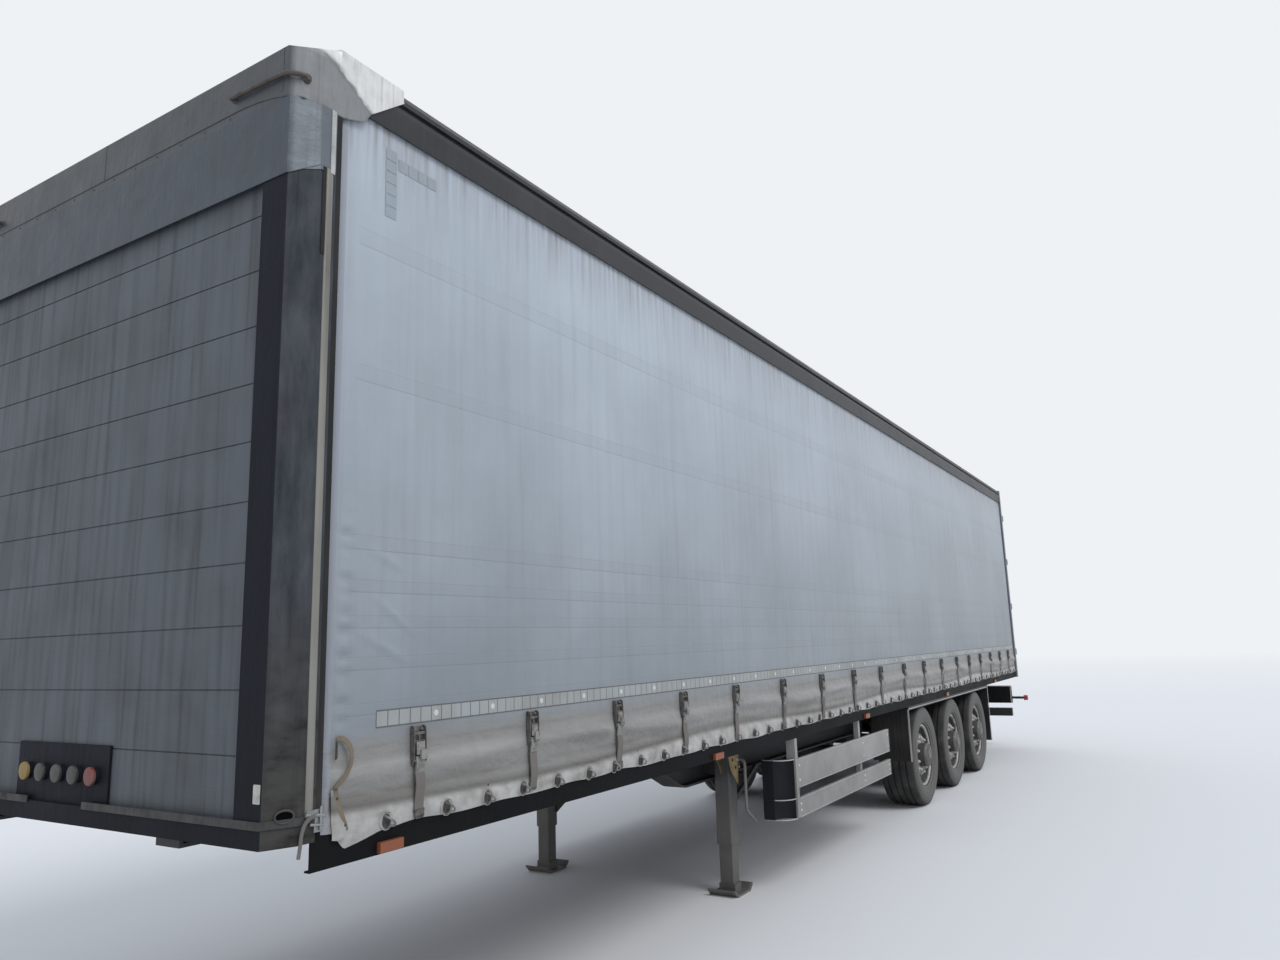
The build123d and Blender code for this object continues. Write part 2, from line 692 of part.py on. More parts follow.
# Rear doors: flush leaves with a framed edge, on hinges that swing them round to the sides
DOOR_FRAME = 48
DOOR_GROOVE = 4
door_back = REAR_FRAME_BACK - DOOR_SETBACK
door_front = door_back - DOOR_THICKNESS
door_edge = rear_post_inner - DOOR_GAP
door_bottom = FLOOR_TOP + DOOR_GAP
door_top = REAR_HEADER_BOTTOM - DOOR_GAP
with BuildPart() as door_leaf:
    block((door_front, door_back), (-door_edge, -DOOR_GAP), (door_bottom, door_top))
    with BuildSketch(Plane.YZ.offset(x_at(door_back))):
        with Locations((-(door_edge + DOOR_GAP) / 2, (door_bottom + door_top) / 2)):
            panel_width = door_edge - DOOR_GAP - 2 * DOOR_FRAME
            panel_height = door_top - door_bottom - 2 * DOOR_FRAME
            Rectangle(panel_width, panel_height)
            Rectangle(panel_width - 2 * DOOR_GROOVE, panel_height - 2 * DOOR_GROOVE, mode=Mode.SUBTRACT)
    extrude(amount=-DOOR_GROOVE, mode=Mode.SUBTRACT)
keep_pair("door_leaf", door_leaf.part)

# Door gear: lock rods with cams, guides and handles, and hinge blades with a knuckle between the lugs
GUIDES_ABOVE_FLOOR = (130, 700, 1300)
GUIDES_BELOW_HEADER = (700, 130)
GUIDE_HALF_WIDTH = 30
GUIDE_HALF_HEIGHT = 22
HANDLE_ABOVE_FLOOR = 375
HANDLE_LENGTH = 330
HANDLE_HALF = 6
GRIP_LENGTH = 130
CATCH_WIDTH = 36
CATCH_GAP = 14
BLADE = 10
BLADE_LENGTH = 320
BLADE_STEP = 12
rod_station = REAR_FRAME_BACK + ROD_CLEARANCE + ROD_RADIUS
rod_guides = [FLOOR_TOP + rise for rise in GUIDES_ABOVE_FLOOR]
rod_guides += [REAR_HEADER_BOTTOM - drop for drop in GUIDES_BELOW_HEADER]
handle_z = FLOOR_TOP + HANDLE_ABOVE_FLOOR
blade_station = REAR_FRAME_BACK + BLADE_STEP
with BuildPart() as door_gear:
    for rod_y in rod_sides:
        with Locations((x_at(rod_station), -rod_y, (rod_low + rod_high) / 2)):
            Cylinder(ROD_RADIUS, rod_high - rod_low)
        for guide in rod_guides:
            block(
                (door_back, rod_station + HANDLE_HALF),
                (-rod_y - GUIDE_HALF_WIDTH, -rod_y + GUIDE_HALF_WIDTH),
                (guide - GUIDE_HALF_HEIGHT, guide + GUIDE_HALF_HEIGHT),
            )
        for cam in (low_cam, high_cam):
            block(
                (rod_station - HANDLE_HALF, rod_station + CAM_REACH),
                (-rod_y - CAM_HALF_WIDTH, -rod_y + CAM_HALF_WIDTH),
                (cam - CAM_HEIGHT / 2, cam + CAM_HEIGHT / 2),
            )
        block(
            (rod_station - HANDLE_HALF, rod_station + HANDLE_HALF),
            (-rod_y, -rod_y + HANDLE_LENGTH),
            (handle_z - 2 * HANDLE_HALF, handle_z + 2 * HANDLE_HALF),
        )
        block(
            (rod_station - HANDLE_HALF, rod_station + 2 * HANDLE_HALF),
            (-rod_y + HANDLE_LENGTH - GRIP_LENGTH, -rod_y + HANDLE_LENGTH),
            (handle_z - 3 * HANDLE_HALF, handle_z + 3 * HANDLE_HALF),
        )
        catch_y = -rod_y + HANDLE_LENGTH - GRIP_LENGTH - CATCH_GAP
        block(
            (door_back, rod_station - HANDLE_HALF),
            (catch_y - CATCH_WIDTH, catch_y),
            (handle_z - 5 * HANDLE_HALF, handle_z + 5 * HANDLE_HALF),
        )
    for height in hinge_heights:
        with BuildSketch(Plane.XY.offset(height - KNUCKLE_HEIGHT / 2)):
            with BuildLine():
                Polyline(
                    (x_at(door_back), -door_edge + BLADE_LENGTH),
                    (x_at(door_back), -door_edge + 4),
                    (x_at(blade_station), -rear_post_inner + 2),
                    (x_at(blade_station), -hinge_pin_y + 12),
                    (x_at(pin_station), -hinge_pin_y),
                    (x_at(blade_station + BLADE), -hinge_pin_y + 30),
                    (x_at(blade_station + BLADE), -rear_post_inner + 6),
                    (x_at(door_back + BLADE), -door_edge + 14),
                    (x_at(door_back + BLADE), -door_edge + BLADE_LENGTH),
                    close=True,
                )
            make_face()
            with Locations((x_at(pin_station), -hinge_pin_y)):
                Circle(KNUCKLE_RADIUS)
                Circle(HINGE_PIN_RADIUS + HINGE_CLEARANCE, mode=Mode.SUBTRACT)
        extrude(amount=KNUCKLE_HEIGHT)
keep_pair("door_gear", door_gear.part)

# Curtains: one coated sheet a side, from inside the roof rail's skirt to the side rail
curtain_front = post_rear + CURTAIN_END_GAP
curtain_rear = REAR_FRAME_FRONT - CURTAIN_REAR_GAP
strap_face = CURTAIN_FACE + CURTAIN_SHEET
with BuildPart() as curtain:
    block(
        (curtain_front, curtain_rear),
        (-strap_face, -CURTAIN_FACE - SOFT_GAP),
        (CURTAIN_BOTTOM, CURTAIN_TOP),
    )
keep_pair("curtain", curtain.part)

# Inner side posts, three a side, and the round tubes that hold a curtain's two ends
BAY_COUNT = 4
SIDE_POST_LENGTH = 120
SIDE_POST_DEPTH = 54
SIDE_POST_INSET = 20
TUBE_INSET = (24, 22)
tube_y = CURTAIN_FACE - TUBE_RADIUS - 1
with BuildPart() as side_posts:
    for station in (curtain_front + TUBE_INSET[0], curtain_rear - TUBE_INSET[1]):
        with Locations((x_at(station), -tube_y, (FLOOR_TOP + CURTAIN_TOP) / 2)):
            Cylinder(TUBE_RADIUS, CURTAIN_TOP - FLOOR_TOP)
    for bay in range(1, BAY_COUNT):
        station = bay * REAR_FRAME_FRONT / BAY_COUNT
        block(
            (station - SIDE_POST_LENGTH / 2, station + SIDE_POST_LENGTH / 2),
            (-CURTAIN_FACE + SIDE_POST_INSET, -CURTAIN_FACE + SIDE_POST_INSET + SIDE_POST_DEPTH),
            (FLOOR_TOP, RAIL_BOTTOM + RAIL_TRACK),
        )
keep_pair("side_posts", side_posts.part)

# Curtain buckles: a webbing tail with a hook under the side rail's edge, and an over-centre lever
# with two cheeks and a window, at closer pitch near both ends
FIRST_BUCKLE = 644
LAST_BUCKLE_AHEAD = 563
END_PITCH = 689
# Bays between buckles at the front, in the middle and at the rear
FRONT_BAYS = 4
MIDDLE_BAYS = 8
REAR_BAYS = 5
LEVER_WIDTH = 62
LEVER_PLATE = 5
LEVER_DEPTH = 14
LEVER_HEIGHT = 170
WINDOW = (34, 62)
STRAP_WIDTH = 45
STRAP_THICKNESS = 4
STRAP_LENGTH = 128
HOOK_WIDTH = 32
HOOK_THICKNESS = 6
LEVER_LOW = 1280
lever_high = LEVER_LOW + LEVER_HEIGHT
strap_low = LEVER_LOW - STRAP_LENGTH
strap_out = strap_face + STRAP_THICKNESS
front_buckles = [FIRST_BUCKLE + bay * END_PITCH for bay in range(FRONT_BAYS)]
rear_buckles = [REAR_FRAME_FRONT - LAST_BUCKLE_AHEAD - bay * END_PITCH for bay in range(REAR_BAYS)]
middle_span = (FIRST_BUCKLE + FRONT_BAYS * END_PITCH, rear_buckles[-1] - END_PITCH)
middle_pitch = (middle_span[1] - middle_span[0]) / MIDDLE_BAYS
middle_buckles = [middle_span[0] + bay * middle_pitch for bay in range(MIDDLE_BAYS + 1)]
with BuildPart() as buckle:
    block(
        (-STRAP_WIDTH / 2, STRAP_WIDTH / 2),
        (-strap_out, -strap_face - SOFT_GAP),
        (strap_low, LEVER_LOW + LEVER_HEIGHT / 2),
    )
    block(
        (-LEVER_WIDTH / 2, LEVER_WIDTH / 2),
        (-strap_out - LEVER_PLATE, -strap_out),
        (LEVER_LOW, lever_high),
    )
    block(
        (-WINDOW[0] / 2, WINDOW[0] / 2),
        (-strap_out - LEVER_PLATE, -strap_out),
        (lever_high - 2 * WINDOW[0] - WINDOW[1] / 2, lever_high - WINDOW[0]),
        mode=Mode.SUBTRACT,
    )
    for cheek in (-LEVER_WIDTH / 2, LEVER_WIDTH / 2 - LEVER_PLATE):
        block(
            (cheek, cheek + LEVER_PLATE),
            (-strap_out - LEVER_DEPTH, -strap_out),
            (LEVER_LOW + LEVER_HEIGHT / 4, lever_high),
        )
    block(
        (-HOOK_WIDTH / 2, HOOK_WIDTH / 2),
        (-strap_out - HOOK_THICKNESS, -strap_out),
        (CURTAIN_BOTTOM - STRAP_THICKNESS, strap_low + HOOK_WIDTH),
    )
    block(
        (-HOOK_WIDTH / 2, HOOK_WIDTH / 2),
        (-strap_out - HOOK_THICKNESS, -RAVE_FACE - SOFT_GAP),
        (CURTAIN_BOTTOM - STRAP_THICKNESS - HOOK_THICKNESS, CURTAIN_BOTTOM - STRAP_THICKNESS),
    )
with BuildPart() as buckles:
    with Locations(*[(station, 0, 0) for station in front_buckles + middle_buckles + rear_buckles]):
        add(buckle.part)
keep_pair("buckles", buckles.part)

# Parking legs: a square tube outside each beam, its inner tube run down to a rocking foot
LEG_STATION = 4130
LEG_Y = 800
LEG_TUBE = 122
LEG_INNER = 98
LEG_TOP = 1060
LEG_TUBE_LOW = 330
LEG_EDGE = 14
FOOT_TOP = 70
FOOT_HALF_WIDTH = 110
FOOT_PLATE = 12
# Columns: distance from the leg's middle, height, along the underside of the foot's plate
FOOT_PROFILE = ((-135, 38), (-95, 0), (95, 0), (135, 38))
with BuildPart() as leg:
    block(
        (LEG_STATION - LEG_TUBE / 2, LEG_STATION + LEG_TUBE / 2),
        (-LEG_Y - LEG_TUBE / 2, -LEG_Y + LEG_TUBE / 2),
        (LEG_TUBE_LOW, LEG_TOP),
    )
    fillet(edges().filter_by(Axis.Z), radius=LEG_EDGE)
    block(
        (LEG_STATION - LEG_INNER / 2, LEG_STATION + LEG_INNER / 2),
        (-LEG_Y - LEG_INNER / 2, -LEG_Y + LEG_INNER / 2),
        (FOOT_TOP, LEG_TUBE_LOW),
    )
    with BuildSketch(Plane.XZ.offset(LEG_Y)):
        with BuildLine():
            Polyline(
                *[(x_at(LEG_STATION + along), height) for along, height in FOOT_PROFILE],
                *[(x_at(LEG_STATION + along), height + FOOT_PLATE) for along, height in reversed(FOOT_PROFILE)],
                close=True,
            )
        make_face()
    extrude(amount=FOOT_HALF_WIDTH, both=True)
    block(
        (LEG_STATION - LEG_INNER / 2, LEG_STATION + LEG_INNER / 2),
        (-LEG_Y - LEG_TUBE / 2, -LEG_Y + LEG_TUBE / 2),
        (FOOT_PLATE, FOOT_TOP),
    )

# The crank handle hangs from the gear head on the left leg
CRANK_RADIUS = 11
CRANK_BEND = 38
CRANK_HEIGHT = 905
CRANK_Y = 955
CRANK_LOW = 560
CRANK_GRIP = (150, 100)
GEAR_HEAD = (100, 30, 150)
leg_face = LEG_Y + LEG_TUBE / 2
with BuildPart() as crank:
    with BuildLine() as crank_path:
        FilletPolyline(
            (x_at(LEG_STATION), -leg_face, CRANK_HEIGHT),
            (x_at(LEG_STATION), -CRANK_Y, CRANK_HEIGHT),
            (x_at(LEG_STATION), -CRANK_Y, CRANK_LOW),
            (x_at(LEG_STATION + CRANK_GRIP[0]), -CRANK_Y, CRANK_LOW - CRANK_GRIP[1]),
            radius=CRANK_BEND,
        )
    with BuildSketch(Plane(origin=(x_at(LEG_STATION), -leg_face, CRANK_HEIGHT), z_dir=(0, -1, 0))):
        Circle(CRANK_RADIUS)
    sweep()
    block(
        (LEG_STATION - GEAR_HEAD[0] / 2, LEG_STATION + GEAR_HEAD[0] / 2),
        (-leg_face - GEAR_HEAD[1], -leg_face),
        (CRANK_HEIGHT - GEAR_HEAD[2] / 2, CRANK_HEIGHT + GEAR_HEAD[2] / 2),
    )
with BuildPart() as cranked_leg:
    add(leg.part)
    add(crank.part)
keep("leg_left", cranked_leg.part)
keep("leg_right", leg.part.mirror(Plane.XZ))

# Leg mounts: plates from each beam's web, a holed gusset ahead of each leg, a brace and the cross shaft
MOUNT_PLATE = 12
MOUNT_HALF = 50
MOUNT_Z = (800, 1040)
GUSSET = 6
GUSSET_SIZE = (150, 260)
GUSSET_HOLE = 11
GUSSET_FIRST_HOLE = (22, 28)
GUSSET_PITCH = (38, 50)
# Holes in each row, from the top
GUSSET_ROWS = (3, 2, 1, 1)
BRACE_WIDTH = 44
BRACE_LOW = 430
BRACE_REACH = 660
SHAFT_RADIUS = 16
SHAFT_Z = 900
leg_inside = LEG_Y - LEG_TUBE / 2
leg_front = x_at(LEG_STATION - LEG_TUBE / 2)
with BuildPart() as leg_mounts:
    for side in (-1, 1):
        for offset_along in (-MOUNT_HALF, MOUNT_HALF - MOUNT_PLATE):
            block(
                (LEG_STATION + offset_along, LEG_STATION + offset_along + MOUNT_PLATE),
                on_side(side, WEB_OUTER, leg_inside),
                MOUNT_Z,
            )
        with BuildSketch(Plane.XZ.offset(-side * (BEAM_OUTER + leg_inside) / 2)):
            with BuildLine():
                Polyline(
                    (x_at(LEG_STATION + LEG_TUBE / 4), BRACE_LOW),
                    (x_at(LEG_STATION + LEG_TUBE / 4), BRACE_LOW + BRACE_WIDTH),
                    (x_at(LEG_STATION + BRACE_REACH), BEAM_BOTTOM + BEAM_FLANGE),
                    (x_at(LEG_STATION + BRACE_REACH + BRACE_WIDTH), BEAM_BOTTOM + BEAM_FLANGE),
                    (x_at(LEG_STATION + BRACE_REACH + BRACE_WIDTH), BEAM_BOTTOM),
                    close=True,
                )
            make_face()
        extrude(amount=(leg_inside - BEAM_OUTER) / 2, both=True)
        with BuildSketch(Plane.XZ.offset(-side * LEG_Y)):
            with BuildLine():
                Polyline(
                    (leg_front, LEG_TOP),
                    (leg_front - GUSSET_SIZE[0], LEG_TOP),
                    (leg_front, LEG_TOP - GUSSET_SIZE[1]),
                    close=True,
                )
            make_face()
            for row, count in enumerate(GUSSET_ROWS):
                height = LEG_TOP - GUSSET_FIRST_HOLE[1] - row * GUSSET_PITCH[1]
                for column in range(count):
                    with Locations((leg_front - GUSSET_FIRST_HOLE[0] - column * GUSSET_PITCH[0], height)):
                        Circle(GUSSET_HOLE, mode=Mode.SUBTRACT)
        extrude(amount=GUSSET / 2, both=True)
    with Locations((x_at(LEG_STATION), 0, SHAFT_Z)):
        Cylinder(SHAFT_RADIUS, 2 * WEB_INNER, rotation=(90, 0, 0))
keep("leg_mounts", leg_mounts.part)

# Side guards: two aluminium planks on posts, with dark ends turned inboard ahead of them
GUARD_BEHIND_LEG = 210
GUARD_AHEAD_WING = 780
PLANK = 26
GUARD_BACK = RAVE_FACE - RAVE_LIP
GUARD_FACE = GUARD_BACK + PLANK
GUARD_POST = 40
GUARD_POST_WIDTH = 44
GUARD_POST_AHEAD = 750
GUARD_ARM_Z = (cross_low - 60, cross_low - 20)
UPPER_PLANK = (690, 886)
LOWER_PLANK = (490, 620)
TURN_RADIUS = 120
TURN_LENGTH = 70
TURN_GAP = 2
WING_AHEAD = 580
guard_front = LEG_STATION + GUARD_BEHIND_LEG
wing_front = AXLE_STATIONS[0] - WING_AHEAD
guard_rear = wing_front - GUARD_AHEAD_WING
plank_front = guard_front + GUARD_POST_WIDTH
with BuildPart() as side_guard:
    for low, high in (UPPER_PLANK, LOWER_PLANK):
        block((plank_front, guard_rear), (-GUARD_FACE, -GUARD_BACK), (low, high))
    turn_y = -GUARD_FACE + PLANK / 2
    for low, high in ((LOWER_PLANK[1] + TURN_GAP, UPPER_PLANK[1]), LOWER_PLANK):
        with BuildSketch(Plane.XY.offset(low)):
            with BuildLine():
                Line(
                    (x_at(guard_front - TURN_RADIUS), turn_y + TURN_RADIUS + TURN_LENGTH),
                    (x_at(guard_front - TURN_RADIUS), turn_y + TURN_RADIUS),
                )
                RadiusArc(
                    (x_at(guard_front - TURN_RADIUS), turn_y + TURN_RADIUS),
                    (x_at(guard_front), turn_y),
                    TURN_RADIUS,
                )
            trace(line_width=PLANK)
        extrude(amount=high - low)
    block((guard_front, plank_front), (-GUARD_FACE, -GUARD_BACK), (LOWER_PLANK[0], RAVE_BOTTOM))
    for station in (guard_front, guard_rear - GUARD_POST_AHEAD - GUARD_POST_WIDTH / 2):
        block(
            (station, station + GUARD_POST_WIDTH),
            (-GUARD_BACK, -GUARD_BACK + GUARD_POST),
            (LOWER_PLANK[0], GUARD_ARM_Z[1]),
        )
        block(
            (station, station + GUARD_POST_WIDTH),
            (-GUARD_BACK, -WEB_OUTER),
            GUARD_ARM_Z,
        )
keep_pair("side_guard", side_guard.part)

# Tyres: wide singles, each a ring of flat-sided sectors standing on one flat
rim_bead = RIM_RADIUS + SOFT_GAP
bead_face = RIM_HALF_WIDTH - 11
BEAD_HEIGHT = 18
sector_turn = 360 / TYRE_SIDES
SECTOR_REACH = TYRE_RADIUS / 6
with BuildPart() as sector:
    with BuildSketch(Plane.XY):
        with BuildLine():
            Polyline(
                (-bead_face, rim_bead),
                (-bead_face, RIM_RADIUS + BEAD_HEIGHT),
                (-TYRE_HALF_WIDTH, TYRE_BULGE_RADIUS),
                (-TREAD_HALF_WIDTH, TYRE_RADIUS),
                (TREAD_HALF_WIDTH, TYRE_RADIUS),
                (TYRE_HALF_WIDTH, TYRE_BULGE_RADIUS),
                (bead_face, RIM_RADIUS + BEAD_HEIGHT),
                (bead_face, rim_bead),
                close=True,
            )
        make_face()
    extrude(amount=SECTOR_REACH, both=True)
    for turn in (-sector_turn / 2, sector_turn / 2):
        cut = Plane.XY.rotated((turn, 0, 0))
        split(bisect_by=cut, keep=Keep.TOP if turn < 0 else Keep.BOTTOM)
with BuildPart() as tyre:
    with Locations(*[Location((0, 0, 0), (number * sector_turn, 0, 0)) for number in range(TYRE_SIDES)]):
        add(sector.part)

# Disc wheels: a rim, a dished disc with hand holes and nuts, and a hub that runs on its spindle
RIM_LIP = 17
rim_low = RIM_RADIUS - RIM_WALL
with BuildPart() as disc_wheel:
    with BuildSketch(Plane.XY):
        with BuildLine():
            Polyline(
                (-RIM_HALF_WIDTH, RIM_RADIUS + RIM_LIP),
                (-RIM_HALF_WIDTH + 10, RIM_RADIUS),
                (RIM_HALF_WIDTH - 10, RIM_RADIUS),
                (RIM_HALF_WIDTH, RIM_RADIUS + RIM_LIP),
                (RIM_HALF_WIDTH, RIM_RADIUS + 8),
                (RIM_HALF_WIDTH - 15, rim_low),
                (DISC_OFFSET - 30, rim_low),
                (DISC_OFFSET - 10, 222),
                (DISC_OFFSET + 4, 205),
                (DISC_OFFSET + 4, 120),
                (DISC_OFFSET + 90, 112),
                (DISC_OFFSET + 98, 60),
                (DISC_OFFSET + 98, 0),
                (DISC_OFFSET + 70, 0),
                (DISC_OFFSET + 70, SPINDLE_RADIUS + SPINDLE_CLEARANCE),
                (-40, SPINDLE_RADIUS + SPINDLE_CLEARANCE),
                (-40, 110),
                (DISC_OFFSET - 12, 130),
                (DISC_OFFSET - 10, 200),
                (DISC_OFFSET - 45, rim_low),
                (-RIM_HALF_WIDTH + 15, rim_low),
                (-RIM_HALF_WIDTH, RIM_RADIUS + 8),
                close=True,
            )
        make_face()
    revolve(axis=Axis.X)
    with BuildSketch(Plane.YZ.offset(DISC_OFFSET + 4)):
        with PolarLocations(BOLT_CIRCLE, BOLT_COUNT):
            RegularPolygon(18, 6)
    extrude(amount=22)
    with BuildSketch(Plane.YZ.offset(DISC_OFFSET - 60)):
        with PolarLocations(HAND_HOLE_CIRCLE, BOLT_COUNT, start_angle=180 / BOLT_COUNT):
            Circle(HAND_HOLE_RADIUS)
    extrude(amount=80, mode=Mode.SUBTRACT)

for number, station in enumerate(AXLE_STATIONS, start=1):
    for side, side_name in ((-1, "left"), (1, "right")):
        outward = Plane(
            origin=(x_at(station), side * TYRE_Y, WHEEL_Z),
            x_dir=(0, side, 0),
            z_dir=(side, 0, 0),
        )
        keep(f"tyre_{number}_{side_name}", tyre.part.moved(outward.location))
        keep(f"wheel_{number}_{side_name}", disc_wheel.part.moved(outward.location))

# Axles: a round beam with a spindle at each end, brake discs with calipers, and air chambers
ARM_WIDTH = 90
ARM_Y = BEAM_Y - 20
SEAT_LENGTH = 180
SEAT_HEIGHT = 28
BRAKE_RADIUS = 150
BRAKE_THICKNESS = 24
BRAKE_INBOARD = 60
CALIPER = (110, 170, 90)
CALIPER_AT = (95, 860, 30)
CHAMBER_RADIUS = 72
CHAMBER_LENGTH = 150
CHAMBER_AT = (120, 765, 40)
HUB_GAP = 12
SPINDLE_REACH = 60
hub_inner = TYRE_Y - 40
spindle_end = TYRE_Y + DISC_OFFSET + SPINDLE_REACH
for number, station in enumerate(AXLE_STATIONS, start=1):
    with BuildPart() as axle:
        with Locations((x_at(station), 0, WHEEL_Z)):
            Cylinder(AXLE_RADIUS, 2 * (hub_inner - HUB_GAP), rotation=(90, 0, 0))
            Cylinder(SPINDLE_RADIUS, 2 * spindle_end, rotation=(90, 0, 0))
        for side in (-1, 1):
            with Locations((x_at(station), side * (hub_inner - BRAKE_INBOARD), WHEEL_Z)):
                Cylinder(BRAKE_RADIUS, BRAKE_THICKNESS, rotation=(90, 0, 0))
            with Locations((x_at(station + CHAMBER_AT[0]), side * CHAMBER_AT[1], WHEEL_Z + CHAMBER_AT[2])):
                Cylinder(CHAMBER_RADIUS, CHAMBER_LENGTH, rotation=(90, 0, 0))
            with Locations((x_at(station + CALIPER_AT[0]), side * CALIPER_AT[1], WHEEL_Z + CALIPER_AT[2])):
                Box(*CALIPER)
            with Locations((x_at(station), side * ARM_Y, WHEEL_Z + AXLE_RADIUS - SEAT_HEIGHT / 2)):
                Box(SEAT_LENGTH, ARM_WIDTH, SEAT_HEIGHT)
    keep(f"axle_{number}", axle.part)

# Spring hangers: folded brackets under the beams, open below round each arm's eye
EYE_RADIUS = 46
EYE_HEIGHT = WHEEL_Z - 20
PIVOT_RADIUS = 15
HANGER_WALL = 8
HANGER_GAP = 1
# Columns: distance ahead of the arm's eye, height, round the hanger's outline
HANGER_OUTLINE = (
    (110, BEAM_BOTTOM),
    (80, EYE_HEIGHT),
    (40, EYE_HEIGHT - 50),
    (-40, EYE_HEIGHT - 50),
    (-75, EYE_HEIGHT),
    (-90, BEAM_BOTTOM),
)
with BuildPart() as spring_hangers:
    for station in AXLE_STATIONS:
        eye = station - HANGER_AHEAD
        for side in (-1, 1):
            hanger_plane = Plane.XZ.offset(-side * ARM_Y)
            with BuildSketch(hanger_plane):
                with BuildLine():
                    Polyline(*[(x_at(eye - ahead), height) for ahead, height in HANGER_OUTLINE], close=True)
                make_face()
            extrude(amount=ARM_WIDTH / 2 + HANGER_GAP + HANGER_WALL, both=True)
            with BuildSketch(hanger_plane):
                with Locations((x_at(eye), EYE_HEIGHT)):
                    Rectangle(4 * EYE_RADIUS, 3 * EYE_RADIUS)
            extrude(amount=ARM_WIDTH / 2 + HANGER_GAP, both=True, mode=Mode.SUBTRACT)
            with Locations((x_at(eye), side * ARM_Y, EYE_HEIGHT)):
                Cylinder(PIVOT_RADIUS, ARM_WIDTH + 2 * (HANGER_GAP + 2 * HANGER_WALL), rotation=(90, 0, 0))
keep("spring_hangers", spring_hangers.part)

# Trailing arms, each with its shock absorber from the arm up to a pin on the beam's web
BELLOWS_BEHIND = 380
BELLOWS_RADIUS = 115
PAD_THICKNESS = 30
ARM_THICKNESS = 40
SEAT_REACH = 110
SHOCK_RADIUS = 28
SHOCK_PIN = 12
SHOCK_Y = 752
SHOCK_LOW = (-30, WHEEL_Z + 85)
SHOCK_HIGH = (-300, BEAM_BOTTOM + 100)
arm_low = WHEEL_Z + AXLE_RADIUS
pad_top = WHEEL_Z + 20
with BuildPart() as trailing_arms:
    for station in AXLE_STATIONS:
        eye = station - HANGER_AHEAD
        for side in (-1, 1):
            with BuildSketch(Plane.XZ.offset(-side * ARM_Y)):
                with BuildLine():
                    Polyline(
                        (x_at(eye), EYE_HEIGHT + EYE_RADIUS),
                        (x_at(station - SEAT_REACH), arm_low + ARM_THICKNESS),
                        (x_at(station + SEAT_REACH), arm_low + ARM_THICKNESS),
                        (x_at(station + BELLOWS_BEHIND - BELLOWS_RADIUS), pad_top),
                        (x_at(station + BELLOWS_BEHIND + SEAT_REACH), pad_top),
                        (x_at(station + BELLOWS_BEHIND + SEAT_REACH), pad_top - PAD_THICKNESS),
                        (x_at(station + BELLOWS_BEHIND - BELLOWS_RADIUS), pad_top - ARM_THICKNESS),
                        (x_at(station + SEAT_REACH), arm_low),
                        (x_at(station - SEAT_REACH), arm_low),
                        (x_at(eye), EYE_HEIGHT - EYE_RADIUS),
                        close=True,
                    )
                make_face()
                with Locations((x_at(eye), EYE_HEIGHT)):
                    Circle(EYE_RADIUS)
                    Circle(PIVOT_RADIUS + SPINDLE_CLEARANCE, mode=Mode.SUBTRACT)
            extrude(amount=ARM_WIDTH / 2, both=True)
            low_end = Vector(x_at(station + SHOCK_LOW[0]), side * SHOCK_Y, SHOCK_LOW[1])
            high_end = Vector(x_at(station + SHOCK_HIGH[0]), side * SHOCK_Y, SHOCK_HIGH[1])
            shock = Plane(origin=(low_end + high_end) / 2, x_dir=(0, 1, 0), z_dir=high_end - low_end)
            with Locations(shock.location):
                Cylinder(SHOCK_RADIUS, (high_end - low_end).length)
            for end, pin_root in ((low_end, ARM_Y), (high_end, WEB_OUTER)):
                with Locations((end.X, side * (SHOCK_Y + pin_root) / 2, end.Z)):
                    Cylinder(SHOCK_PIN, SHOCK_Y - pin_root, rotation=(90, 0, 0))
keep("trailing_arms", trailing_arms.part)

# Air springs: a rolling bellows on a piston, under a top plate against each beam
PISTON_RADIUS = 84
PISTON_HEIGHT = 62
BEAD_CHAMFER = 22
TOP_PLATE = 10
with BuildPart() as air_spring:
    with BuildSketch(Plane.XZ):
        with BuildLine():
            Polyline(
                (0, pad_top),
                (PISTON_RADIUS - BEAD_CHAMFER, pad_top),
                (PISTON_RADIUS, pad_top + PISTON_HEIGHT),
                (BELLOWS_RADIUS - BEAD_CHAMFER / 2, pad_top + PISTON_HEIGHT - BEAD_CHAMFER),
                (BELLOWS_RADIUS, pad_top + PISTON_HEIGHT + BEAD_CHAMFER),
                (BELLOWS_RADIUS, BEAM_BOTTOM - TOP_PLATE - BEAD_CHAMFER),
                (BELLOWS_RADIUS - BEAD_CHAMFER, BEAM_BOTTOM - TOP_PLATE),
                (BELLOWS_RADIUS - BEAD_CHAMFER, BEAM_BOTTOM),
                (0, BEAM_BOTTOM),
                close=True,
            )
        make_face()
    revolve(axis=Axis.Z)
with BuildPart() as air_springs:
    with Locations(*[
        (x_at(station + BELLOWS_BEHIND), side * ARM_Y, 0) for station in AXLE_STATIONS for side in (-1, 1)
    ]):
        add(air_spring.part)
keep("air_springs", air_springs.part)

# Mudguards: a flat dark wing over each side's wheels, with flaps ahead of them and behind
WING_BEHIND = 750
WING_THICKNESS = 12
WING_INNER = 850
WING_INSET = 14
WING_LIP = (6, 26)
FLAP = 12
FLAP_LOW = (500, 300)
wing_face = RAVE_FACE - WING_INSET
wing_rear = LAST_AXLE + WING_BEHIND
wing_bottom = RAVE_BOTTOM - WING_THICKNESS
with BuildPart() as mudguards:
    block((wing_front, wing_rear), (-wing_face, -WING_INNER), (wing_bottom, RAVE_BOTTOM))
    block(
        (wing_front, wing_rear),
        (-wing_face, -wing_face + WING_LIP[0]),
        (wing_bottom - WING_LIP[1], wing_bottom),
    )
    mirror(about=Plane.XZ)
keep("mudguards", mudguards.part)

